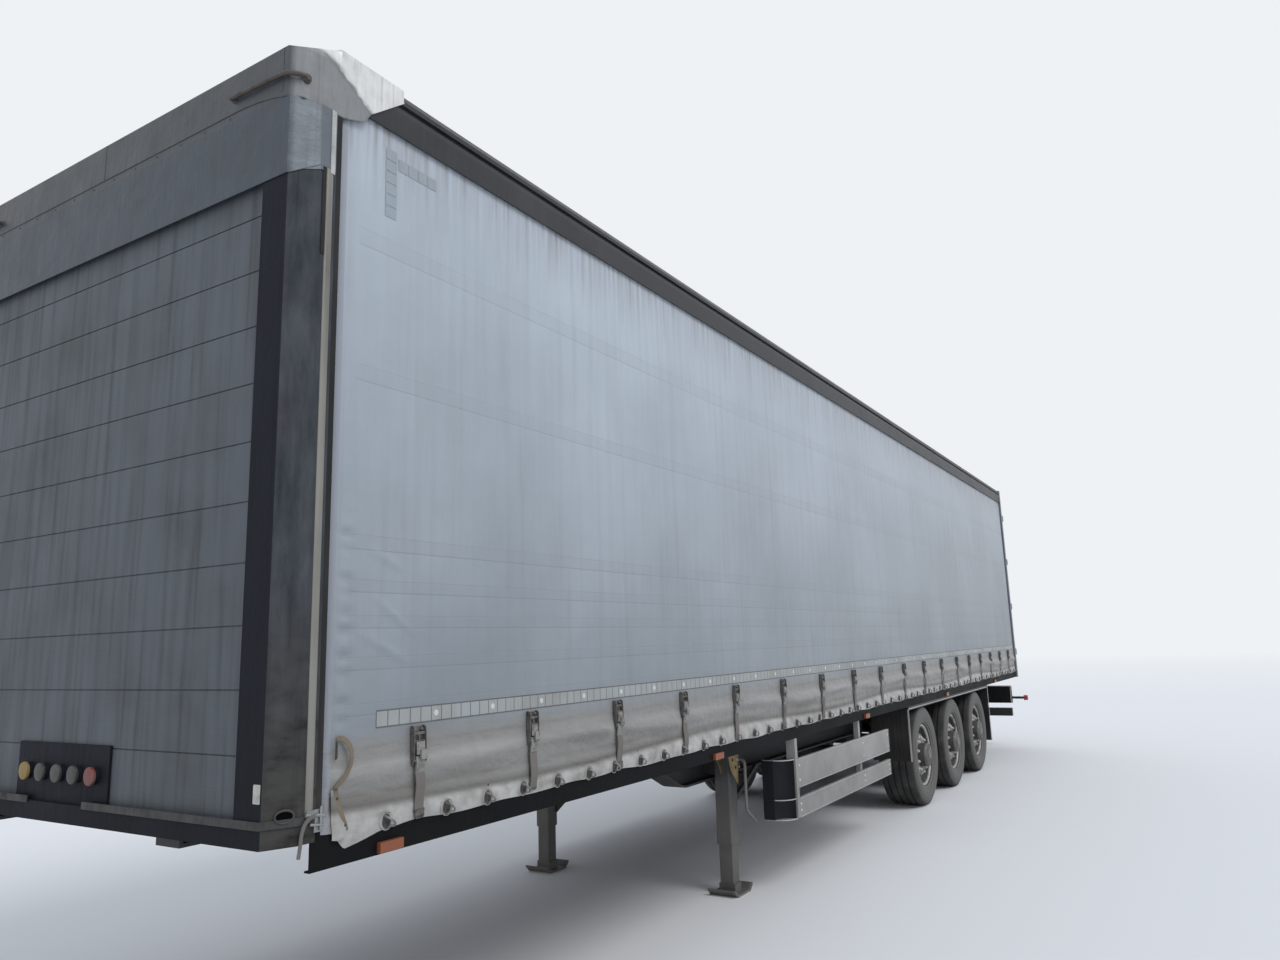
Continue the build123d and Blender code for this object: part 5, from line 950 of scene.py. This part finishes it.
def buckle_frame():
    """Back plate with two rivets, a bar with two slots, cheeks, a cross pin and the hook at the foot."""
    plates = outward((-0.029, 1.315, 0.002, 0.029, 1.452, 0.005), (-0.027, 1.424, 0.012, 0.027, 1.434, 0.017),
                     (-0.003, 1.404, 0.012, 0.003, 1.426, 0.016), (-0.027, 1.396, 0.010, 0.027, 1.404, 0.018),
                     (-0.023, 1.128, 0.006, 0.023, 1.152, 0.010), (-0.019, 1.122, 0.001, 0.019, 1.130, 0.010),
                     (-0.027, 1.148, 0.004, 0.027, 1.156, 0.008))
    rivets = heads([(-0.019, -0.008, 1.442), (0.019, -0.008, 1.442)], 1, 0.0085, 0.007, 10)
    pin = turned(((-0.034, 0.0), (-0.034, 0.005), (0.034, 0.005), (0.034, 0.0)), 8, 0, (0, -0.014, 1.330))
    return [plates, rivets, pin, cheek(-0.030), cheek(0.030)]


def buckle_lever():
    """Lever plate between the cheeks, its raised tongue, and the tapered neck that holds the strap."""
    plate = outward((-0.021, 1.352, 0.019, 0.021, 1.398, 0.0235), (-0.006, 1.334, 0.022, 0.024, 1.368, 0.031),
                    (-0.016, 1.376, 0.0225, 0.016, 1.390, 0.026))
    neck = [(0, -0.013, 1.345), (0, -0.017, 1.320), (0, -0.012, 1.292), (0, -0.010, 1.284)]
    return [plate, carried(neck, strip(0.042, 0.009))]


def buckle_strap(bulge, sway, lean):
    """Webbing tail as a flat section down a wavy path, its waves given in metres."""
    z = np.linspace(1.296, 1.138, 18)
    share = (1.296 - z) / 0.158
    out = 0.011 + bulge * np.sin(pi * share) + sway * np.sin(2 * pi * share) - 0.006 * share
    return [carried(np.stack((lean * np.sin(pi * share) * 0.4, -out, z), -1), strip(0.046, 0.0032))]


strap_waves = chance.uniform((0.000, -0.004, -0.006), (0.009, 0.005, 0.006), (len(buckle_stations), 3))
tilts = chance.uniform(-0.045, 0.045, len(buckle_stations))
for side, side_name in SIDES:
    parts = {"frames": [], "levers": [], "straps": []}
    for station, waves, tilt in zip(buckle_stations, strap_waves, tilts):
        for group, shapes in zip(parts, (buckle_frame(), buckle_lever(), buckle_strap(*waves))):
            for points, quads in shapes:
                lean = tilt * side * (BUCKLE_TOP - points[..., 2:])
                placed = points + lean * (1, 0, 0) + (station, -CURTAIN_Y - 0.0015, 0)
                parts[group].append(on_side((placed, quads), side))
    piece(f"buckle_frames_{side_name}", parts["frames"], frame_metal, stands_for=[f"buckles_{side_name}"],
          slot="galvanised")
    piece(f"buckle_levers_{side_name}", parts["levers"], lever_metal)
    piece(f"buckle_straps_{side_name}", parts["straps"], strap_webbing)

# Tyres: wide singles with four straight grooves and notched shoulders, turned about the axle.
# Their walls are dusty and finely ringed, and the tread is darker, wherever the wheel stands.
AXLES = (7.960, 9.270, 10.580)
WHEEL_Y, WHEEL_Z = 1.045, 0.500
TREAD_HALF, TREAD_RADIUS = 0.158, 0.4995
NOTCHES = 72
WALL_RINGS, RING_PITCH = (0.333, 0.356, 0.424, 0.447), 0.021
# Columns: distance from the tyre's middle, radius, up the wall from the bead
WALL = ((0.1385, 0.3035), (0.151, 0.3065), (0.170, 0.322), (0.184, 0.350), (0.1915, 0.385), (0.1915, 0.412),
        (0.186, 0.440), (0.178, 0.463), (0.171, 0.478), (0.166, 0.488), (TREAD_HALF, 0.4950))
wheels = [(f"{number}_{side_name}", station, side) for number, station in enumerate(AXLES, start=1)
          for side, side_name in SIDES]


def tyre_rows():
    """Place across the tyre and radius from bead to bead: walls with raised rings, and a grooved crown."""
    wall = bent(WALL, 34)
    wall[:, 0] += 0.0032 * sum(bell(wall[:, 1], radius, 0.004) for radius in WALL_RINGS)
    groove = np.array(((0.009, 0.0), (0.007, -0.014), (-0.007, -0.014), (-0.009, 0.0)))
    middles = np.array((0.100, 0.034, -0.034, -0.100))[:, None, None] * (1, 0)
    tread = np.concatenate([[(TREAD_HALF, 0.0)], (middles + groove).reshape(-1, 2), [(-TREAD_HALF, 0.0)]])
    tread[:, 1] += TREAD_RADIUS - 0.0045 * (tread[:, 0] / TREAD_HALF) ** 2
    beads = np.array(((0.1385, 0.2868), (-0.1385, 0.2868)))
    return np.concatenate([beads[:1], wall, tread, (wall * (-1, 1))[::-1], beads[1:], beads[:1]])


def tyre():
    """The rows turned round the axle, each shoulder pulled in by up to 7 mm at every other column."""
    points, quads = turned(tyre_rows(), 2 * NOTCHES)
    radius = np.hypot(points[..., 0], points[..., 2])
    shoulder = bell(np.abs(points[..., 1]), 0.156, 0.018) * (radius > 0.465)
    notch = (np.arange(2 * NOTCHES) % 2)[:, None] * shoulder
    points[..., [0, 2]] *= (1 - 0.007 * notch / radius)[..., None]
    return points, quads


def from_axle(tree):
    """Distance from the nearest axle's line, with stations wrapped to one axle's bay, and from the middle."""
    station, y, z = axes_of(tree)
    bay = (AXLES[1] - AXLES[0]) / 2
    along = step(tree, "ShaderNodeMath", {0: station - AXLES[0], 1: bay, 2: -bay}, operation="WRAP")
    along, up = Value(along.outputs[0]), z - WHEEL_Z
    return (along * along + up * up).apply("SQRT"), abs(y)


def between(value, low, high, soft):
    """One between two limits and nought outside them, over a soft edge."""
    return ramp(value, low - soft, low + soft) * ramp(value, high + soft, high - soft)


def build_tyre_rubber():
    """Black rubber whose walls, between bead and shoulder, are ringed and grey with dust."""
    material = finish(
        "tyre_rubber", (0.02, 0.02, 0.02), 0.8, dirt=(0.12, 0.113, 0.102), amount=0.9, low=0.1,
        patches=0.45, streaks=0.0, scale=3)
    radius, _ = from_axle(material.node_tree)
    wall = between(radius, 0.30, 0.470, 0.012)
    ring = (radius * (2 * pi / RING_PITCH)).apply("SINE")
    colour = mixed(wall * (ring * 0.34 + 0.66), (0.014, 0.014, 0.015), (0.170, 0.165, 0.155))
    feed(material, colour, "Color", "aged")
    return roughen(material, ring * wall * 0.5 + noise(coordinates(material.node_tree), 90, 4.0), 0.0006)


tyre_rubber = build_tyre_rubber()
tyre_points, tyre_quads = tyre()
for wheel, station, side in wheels:
    piece(f"road_tyre_{wheel}", [(tyre_points + (station, side * WHEEL_Y, WHEEL_Z), tyre_quads)], tyre_rubber,
          body=f"wheel_{wheel}_body", stands_for=[f"tyre_{wheel}"], slot="tyre")

# Wheels: pressed steel discs in silver paint with a bright worn rim edge. Ten nuts on washers and studs,
# a bolted hub cap and a bent valve are added to each.
NUT_CIRCLE, NUTS = 0.1675, 10
DISC_FACE = 0.124


def ring_of(count, radius, y, first=0.0):
    """Places evenly round the axle, the first one at the top."""
    turn = first + 2 * pi * np.arange(count) / count
    return np.stack((radius * np.sin(turn), np.full(count, y), radius * np.cos(turn)), -1)


def build_wheel_paint():
    """Silver paint, brighter and barer on the rim's edge and the nuts, browner with dust inside the dish."""
    material = finish(
        "wheel_paint", (0.3, 0.3, 0.3), 0.36, 0.55, dirt=(0.065, 0.055, 0.047), amount=0.95, low=0.1,
        patches=0.75, streaks=0.0, scale=6)
    radius, reach = from_axle(material.node_tree)
    rim = between(radius, 0.2880, 0.4, 0.003) * between(reach, 1.17, 1.30, 0.002)
    nuts = between(radius, 0.1450, 0.190, 0.002) * between(reach, 1.171, 1.3, 0.001)
    dish = mixed(between(radius, 0.20, 0.285, 0.02), (0.34, 0.34, 0.335), (0.115, 0.105, 0.096))
    dish = mixed(ramp(radius, 0.128, 0.120), dish, (0.11, 0.105, 0.10))
    feed(material, mixed(rim.apply("MAXIMUM", nuts), dish, (0.62, 0.61, 0.58)), "Color", "aged")
    return pit(material, 120, 0.0003)


wheel_paint = build_wheel_paint()
nut_metal = pit(finish(
    "nut_metal", (0.66, 0.65, 0.61), 0.4, 0.15, dirt=(0.12, 0.105, 0.09), amount=0.7, low=0.1, patches=0.5,
    streaks=0.0, scale=30), 200, 0.0002)
hub_metal = pit(finish(
    "hub_metal", (0.20, 0.195, 0.185), 0.4, 0.3, dirt=(0.05, 0.045, 0.04), amount=0.9, low=0.1, patches=0.7,
    streaks=0.0, scale=12), 160, 0.0003)
stud = turned(((0.002, 0.0235), (-0.0055, 0.0235), (-0.0060, 0.0185), (-0.0225, 0.0160), (-0.0245, 0.0100),
               (-0.0340, 0.0096), (-0.0355, 0.0075), (-0.0355, 0.0)), 12)
hub_ring = turned(((-0.188, 0.111), (-0.188, 0.1175), (-0.203, 0.1175), (-0.2105, 0.1125), (-0.205, 0.1080),
                   (-0.188, 0.111)), 40)
hub_cap = turned(((-0.215, 0.047), (-0.2215, 0.0445), (-0.2225, 0.0400), (-0.2215, 0.0370),
                  (-0.2215, 0.0)), 24)
hub_bolts = heads(ring_of(8, 0.0880, -0.2130, pi / 8), 1, 0.0085, 0.007)
valve = carried(bent([(0.0, -0.092, -0.246), (0.0, -0.120, -0.240), (0.0, -0.150, -0.243)], 8),
                circle(0.0045), (1.0, 0.0, 0.0))
fixings = [copies(stud, ring_of(NUTS, NUT_CIRCLE, -DISC_FACE))]
for wheel, station, side in wheels:
    dress(wheel_paint, f"wheel_{wheel}")
    for label, shapes, material in (("fixings", fixings, nut_metal),
                                    ("hub", [hub_ring, hub_cap, hub_bolts, valve], hub_metal)):
        placed = [(points + (station, -WHEEL_Y, WHEEL_Z), quads) for points, quads in shapes]
        piece(f"wheel_{label}_{wheel}", [on_side(shape, side) for shape in placed], material,
              body=f"wheel_{wheel}_body")

# Side guards: smooth aluminium planks on bolted posts, with dark turned-in front ends and end caps.
# A pale bead runs along each plank's edges and round its corner.
GUARD_S = (4.384, 6.600)
GUARD_CORNER, GUARD_RADIUS = (4.340, -1.121), 0.1225
PLANK_Z = ((0.690, 0.886), (0.490, 0.620))


def build_guard_finish():
    """Dull aluminium behind the first post, and near black ahead of it on the turned-in front ends, as
    painted shade.
    """
    material = finish(
        "guard_finish", (0.5, 0.5, 0.5), 0.5, 0.15, shine=0.25, dirt=(0.12, 0.112, 0.10), amount=0.85,
        low=1.0, height=0.7, patches=0.22, streaks=0.0)
    tree = material.node_tree
    # The forward-facing turned-in ends are near black: painted shade.
    ahead = between(axes_of(tree)[0], 4.0, 4.338, 0.001)
    feed(material, mixed(ahead, (0.12, 0.112, 0.10), (0.016, 0.016, 0.018)), "Dirt", "aged")
    feed(material, mixed(ahead, (0.39, 0.385, 0.372), (0.006, 0.008, 0.013)), "Color", "aged")
    return roughen(material, noise(coordinates(tree), 9, 4.0), 0.0012)


def corner_edge(z):
    """A bead from the plank's face round a quarter circle and in along its turned end, at one height."""
    turn = np.linspace(0, pi / 2, 10)
    s, y = GUARD_CORNER[0] - GUARD_RADIUS * np.sin(turn), GUARD_CORNER[1] - GUARD_RADIUS * np.cos(turn)
    path = [(GUARD_S[0], -1.2435), *zip(s, y), (4.2175, -1.053)]
    return carried([(*point, z) for point in path], strip(0.004, 0.007), (0.0, 0.0, 1.0))


dress(build_guard_finish(), "side_guard_left", "side_guard_right")
edge_metal = pit(finish(
    "edge_metal", (0.58, 0.58, 0.57), 0.4, 0.4, dirt=(0.2, 0.19, 0.17), amount=0.8, low=0.4, patches=0.4,
    streaks=0.2), 60, 0.0002)
beads = boxes(*[(GUARD_S[0], -1.2562, z - 0.003, GUARD_S[1], -1.2530, z + 0.003)
                for low, high in PLANK_Z for z in (low + 0.003, high - 0.003)])
piece("guard_edges", mirrored(beads, *[corner_edge(z) for z in (0.888, 0.621, 0.488)]), edge_metal)
post_bolts = heads([(s, -1.2545, z) for s in (4.400, 5.850, 6.560) for z in (0.740, 0.840, 0.535, 0.578)],
                   1, 0.010, 0.006, 10)
piece("guard_bolts", mirrored(post_bolts), nut_metal)
caps = boxes(*[(GUARD_S[1] - 0.004, -1.2570, low - 0.002, GUARD_S[1] + 0.012, -1.2250, high + 0.002)
               for low, high in PLANK_Z])
piece("guard_caps", mirrored(caps), black_plastic, bevel=0.005)

# Parking legs: dark tubes on ochre primed gussets, each with a holed bracing plate outboard of the tube,
# a pale crank hung on the left leg, and their bolts.
LEG_S = 4.130
# Columns: station, height. Rows: the bracing plate's low corners and then its high ones, front first
PLATE_CORNERS = ((4.026, 0.837), (4.133, 0.732), (3.952, 1.040), (4.143, 1.020))
PLATE_HOLES = ((4.020, 0.985), (4.075, 0.978), (4.052, 0.905), (4.095, 0.850))
PLATE_Y = (-0.900, -0.893)


def by_place(name, axis, start, end, within, outside, roughness=0.45, metallic=0.3, **weather):
    """A finish in one colour between two places along an axis and another outside them."""
    material = finish(name, (0.5, 0.5, 0.5), roughness, metallic, **weather)
    inside = between(axes_of(material.node_tree)[axis], start, end, 0.0008)
    feed(material, mixed(inside, outside, within), "Color", "aged")
    return pit(material, 60, 0.0005)


gusset_finish = by_place(
    "gusset_finish", 0, 3.90, 4.068, (0.33, 0.25, 0.12), (0.022, 0.025, 0.03), dirt=(0.12, 0.10, 0.08),
    amount=0.8, low=0.3, patches=0.6, streaks=0.3, scale=5)
leg_finish = by_place(
    "leg_finish", 1, -1.2, -0.8925, (0.22, 0.215, 0.20), (0.080, 0.083, 0.087), dirt=DUST, amount=0.9,
    low=0.6, height=0.7, patches=0.4, streaks=0.25, scale=2)
primer = pit(finish(
    "primer", (0.44, 0.33, 0.13), 0.6, dirt=(0.10, 0.085, 0.065), amount=0.85, low=0.3, patches=0.7,
    streaks=0.3, scale=6), 80, 0.0004)
dress(gusset_finish, "leg_mounts")
dress(leg_finish, "leg_left", "leg_right")
low_front, low_rear, high_front, high_rear = PLATE_CORNERS
plate_points = np.array([(s, y, z) for front, rear in ((low_front, low_rear), (high_front, high_rear))
                         for (s, z), y in zip((front, rear, rear, front), np.repeat(PLATE_Y, 2))])
piece("leg_plates", mirrored((plate_points, boxes((0, 0, 0, 1, 1, 1))[1])), primer, bevel=0.002)
# The plate's holes are flat dark discs in the black rubber finish: painted shade in the holes.
plate_hole = turned(((0.002, 0.0), (0.002, 0.0125), (-0.0006, 0.0125), (-0.0006, 0.0)), 16)
piece("plate_holes", mirrored(copies(plate_hole, [(s, PLATE_Y[0], z) for s, z in PLATE_HOLES])), black_rubber)
leg_bolts = heads([(LEG_S + s, -0.8615, z) for s in (-0.045, 0.045) for z in (1.035, 0.995)], 1, 0.011, 0.007)
gear_bolts = heads([(LEG_S + s, -0.8915, z) for s in (-0.038, 0.038) for z in (0.845, 0.905, 0.965)], 1,
                   0.008, 0.006)
collar = turned(((0.0, 0.016), (-0.016, 0.016), (-0.018, 0.012), (-0.018, 0.0)), 16, 1,
                (LEG_S, -0.890, 0.905))
piece("leg_fixings", mirrored(leg_bolts, gear_bolts, collar), nut_metal)

# Mudguards and flaps: black plastic with a pale rolled outer edge, ribbed rubber flaps with a pale hem,
# and clamp rings round the brake chambers behind the wheels.
WING_S = (7.380, 11.330)
# Columns: stations of a row of ribs' two faces, height of their foot
RIB_ROWS = ((WING_S[0] - 0.0030, WING_S[0] + 0.001, 0.512), (WING_S[1] - 0.001, WING_S[1] + 0.0030, 0.312),
            (WING_S[1] - 0.0150, WING_S[1] - 0.0110, 0.312))
flap_ribs = boxes(*[(ahead, -y - 0.005, foot, behind, -y + 0.005, 0.990) for ahead, behind, foot in RIB_ROWS
                    for y in np.arange(0.895, 1.22, 0.045)])
piece("flap_ribs", mirrored(flap_ribs), black_rubber, weld=False, bevel=0.001)
wing_edges = boxes((WING_S[0], -1.2428, 1.0005, WING_S[1], -1.2385, 1.0085),
                   (WING_S[0] - 0.003, -1.2420, 0.500, WING_S[0] + 0.002, -1.2260, 1.000),
                   (WING_S[1] - 0.013, -1.2420, 0.300, WING_S[1] + 0.002, -1.2385, 1.000))
piece("wing_edges", mirrored(wing_edges), edge_metal, bevel=0.001)
clamp = turned(((-0.012, 0.071), (-0.012, 0.080), (0.012, 0.080), (0.012, 0.071), (-0.012, 0.071)), 28)
push = turned(((-0.015, 0.0), (-0.015, 0.030), (-0.086, 0.026), (-0.092, 0.012), (-0.092, 0.0)), 16)
chambers = [(station + 0.120, -0.765, 0.540) for station in AXLES]
piece("chamber_clamps", mirrored(copies(clamp, chambers), copies(push, chambers)), nut_metal)

# Rear lamps and carrier: round ribbed lenses in a black housing, red lamps on rubber stalks,
# a blank pale plate and the carrier's bright edges.
LENS_PLACES = [(13.558, -y, 0.770) for y in (0.8767, 0.99, 1.1033)]
LAMP_COLOURS = {"clear": (0.62, 0.62, 0.62), "red": (0.42, 0.012, 0.014), "amber": (0.70, 0.20, 0.015)}
CARRIER_S, CARRIER_FACE = (13.418, 13.502), (13.4165, 13.421)
STALK = (13.460, -1.180, 0.720)


def lens_finish(name, colour):
    """Moulded lens: a fine grid of ribs under a glossy face, dusty at its foot."""
    material = finish(name, colour, 0.16, dirt=DUST, amount=0.6, low=0.4, patches=0.2)
    across, up = ((value * (2 * pi / 0.008)).apply("SINE") for value in axes_of(material.node_tree)[1:])
    return roughen(material, across * up, 0.0008)


lens = turned(((0.0, 0.0505), (0.0100, 0.0500), (0.0135, 0.0440), (0.0150, 0.0300), (0.0155, 0.0)), 32, 0)
bezel = turned(((-0.012, 0.0500), (0.0060, 0.0500), (0.0120, 0.0530), (0.0060, 0.0560), (-0.012, 0.0560),
                (-0.012, 0.0500)), 32, 0)
for name, place, (shade, colour) in zip(("inner", "middle", "outer"), LENS_PLACES, LAMP_COLOURS.items()):
    piece(f"lens_{name}", mirrored(copies(lens, [place])), lens_finish(f"lamp_{shade}", colour))
lamp_finish = by_place(
    "lamp_finish", 1, -1.356, 1.356, (0.012, 0.012, 0.013), LAMP_COLOURS["red"], 0.4, 0.0, dirt=DUST,
    amount=0.8, low=0.5, height=0.9, patches=0.3)
carrier_black = pit(finish(
    "carrier_black", (0.008, 0.008, 0.009), 0.55, shine=0.15, dirt=(0.035, 0.032, 0.03), amount=0.8,
    low=0.5, height=0.8, patches=0.3), 150, 0.0002)
bar_finish = by_place(
    "bar_finish", 2, 0.5665, 0.60, (0.34, 0.34, 0.33), (0.022, 0.023, 0.025), 0.5, 0.3,
    dirt=(0.05, 0.045, 0.04), amount=0.8, low=0.4, patches=0.4, streaks=0.2, scale=5)
plate_white = finish(
    "plate_white", (0.60, 0.60, 0.57), 0.3, dirt=(0.30, 0.28, 0.25), amount=0.6, low=0.5, height=0.9,
    patches=0.05, streaks=0.0)
dress(lamp_finish, "rear_lamps")
dress(carrier_black, "light_carrier")
dress(bar_finish, "underrun_bar")
rib = np.array(((-0.006, 0.0165), (-0.010, 0.0235), (-0.016, 0.0165)))
stalk_ribs = turned(np.concatenate([rib - (0.018 * k, 0) for k in range(9)]), 18, 1, STALK)
stalk_foot = turned(((0.004, 0.0), (0.004, 0.034), (-0.006, 0.032), (-0.014, 0.018), (-0.014, 0.0)), 20, 1,
                    STALK)
stalk_rim = turned(((-0.002, 0.0375), (-0.002, 0.0400), (0.004, 0.0400), (0.004, 0.0375), (-0.002, 0.0375)),
                   24, 1, (STALK[0], -1.362, STALK[2]))
piece("lamp_rubbers", mirrored(copies(bezel, LENS_PLACES), stalk_ribs, stalk_foot, stalk_rim), black_rubber)
# Columns: stations, heights of the end frame's sides; places across, heights of the front frame's sides
END_FRAME = ((*CARRIER_S, 0.894, 0.902), (*CARRIER_S, 0.638, 0.645), (CARRIER_S[0], 13.424, 0.645, 0.894),
             (13.496, CARRIER_S[1], 0.645, 0.894))
FRONT_FRAME = ((-1.1815, -0.800, 0.889, 0.902), (-1.1815, -1.1690, 0.640, 0.889),
               (-0.8120, -0.800, 0.640, 0.889))
frame_sides = [(ahead, -1.1818, low, behind, -1.1785, high) for ahead, behind, low, high in END_FRAME]
frame_sides += [(CARRIER_FACE[0], outer, low, CARRIER_FACE[1], inner, high)
                for outer, inner, low, high in FRONT_FRAME]
piece("carrier_edges", mirrored(boxes(*frame_sides)), edge_metal, bevel=0.0008)
bar_end = boxes((13.356, -1.1830, 0.466, 13.424, -1.1790, 0.554))
piece("bar_ends", mirrored(bar_end), black_plastic, bevel=0.004)
piece("blank_plate", [boxes((13.500, -0.262, 0.712, 13.5035, 0.262, 0.828))], plate_white, bevel=0.002)
holder = boxes((13.499, -0.272, 0.700, 13.502, 0.272, 0.840), (13.499, -0.272, 0.828, 13.508, 0.272, 0.840),
               (13.499, -0.272, 0.700, 13.508, 0.272, 0.712))
piece("plate_holder", [holder], black_plastic, bevel=0.0015)

# Rear doors: rubber seals round each painted leaf, riveted frames, bolted hinge blades and lock guides.
# Everything here rides on its own door.
HINGE_Z = (1.420, 2.130, 2.840, 3.550)
ROD_Y = (0.420, 0.960)
GUIDE_Z = (1.330, 1.900, 2.500, 3.100, 3.670)
DOOR_Z = (1.206, 3.794)
DOOR_BACK = 13.632


def rear_heads(places, radius, height):
    """Bolt heads standing out rearwards."""
    profile = ((-0.001, radius), (0.55 * height, radius), (height, 0.75 * radius), (height, 0.0))
    return copies(turned(profile, 8, 0), places)


door_bolts = [(DOOR_BACK + 0.0095, -1.189 + along, z + up) for z in HINGE_Z for along in (0.090, 0.180, 0.280)
              for up in (-0.016, 0.016)]
guide_bolts = [(DOOR_BACK + 0.0335, -y + across, z) for y in ROD_Y for z in GUIDE_Z
               for across in (-0.0225, 0.0225)]
frame_rivets = [(DOOR_BACK, -y, z) for y in (0.030, 1.165) for z in np.arange(1.28, 3.76, 0.165)]
frame_rivets += [(DOOR_BACK, -y, z) for y in np.arange(0.12, 1.12, 0.16) for z in (1.230, 3.770)]
seals = boxes((DOOR_BACK - 0.030, -0.0165, DOOR_Z[0], DOOR_BACK + 0.0022, -0.0065, DOOR_Z[1]),
              (DOOR_BACK - 0.028, -1.1915, DOOR_Z[0], DOOR_BACK + 0.0015, -1.1800, DOOR_Z[1]),
              (DOOR_BACK - 0.028, -1.1800, 3.784, DOOR_BACK + 0.0018, -0.0165, 3.7955),
              (DOOR_BACK - 0.028, -1.1800, 1.2045, DOOR_BACK + 0.0018, -0.0165, 1.216))
guide_pads = boxes(*[(DOOR_BACK - 0.001, -y - 0.036, z - 0.028, DOOR_BACK + 0.0025, -y + 0.036, z + 0.028)
                     for y in ROD_Y for z in GUIDE_Z])
bolts = [rear_heads(door_bolts, 0.010, 0.007), rear_heads(guide_bolts, 0.008, 0.006)]
for side, side_name in SIDES:
    for label, shapes, material, extra in (
            ("door_bolts", bolts, nut_metal, {}),
            ("door_rivets", [rear_heads(frame_rivets, 0.005, 0.0025)], door_paint, {}),
            ("door_seals", [seals], black_rubber, {"weld": False, "bevel": 0.0015}),
            ("guide_pads", [guide_pads], black_plastic, {"weld": False, "bevel": 0.001})):
        piece(f"{label}_{side_name}", [on_side(shape, side) for shape in shapes], material,
              body=f"door_{side_name}", **extra)

# Rail ends and front couplings: clamps that hold the curtain's rear tube, and capped sockets for air
# and current on the panel at the foot of the front wall.
clamps = boxes((13.505, -1.2780, 3.862, 13.585, -1.2620, 3.884),
               (13.515, -1.2780, 3.800, 13.538, -1.2600, 3.862),
               (13.500, -1.2760, 1.150, 13.556, -1.2600, 1.172),
               (13.512, -1.2780, 1.100, 13.534, -1.2600, 1.150))
piece("tube_clamps", mirrored(clamps), dark_steel, bevel=0.002)
rail_bolts = heads([(s, -1.2545, 1.185) for s in np.arange(1.05, 13.3, 1.165)], 1, 0.008, 0.005)
piece("rail_bolts", mirrored(rail_bolts), dark_steel)
socket_cap = turned(((0.001, 0.0335), (-0.006, 0.0345), (-0.010, 0.0330), (-0.013, 0.0200),
                     (-0.0135, 0.0)), 24, 0)
socket_places = [(0.004, y, 1.310) for y in (-0.240, -0.120, 0.0, 0.120, 0.240)]
for name, colour, chosen in (("red", (0.17, 0.014, 0.012), socket_places[:1]),
                             ("yellow", (0.28, 0.18, 0.02), socket_places[4:]),
                             ("black", (0.018, 0.018, 0.019), socket_places[1:4])):
    cap_finish = pit(finish(
        f"socket_{name}", colour, 0.45, dirt=DUST, amount=0.7, low=0.4, patches=0.5, scale=9), 140, 0.0003)
    piece(f"socket_caps_{name}", [copies(socket_cap, chosen)], cap_finish)
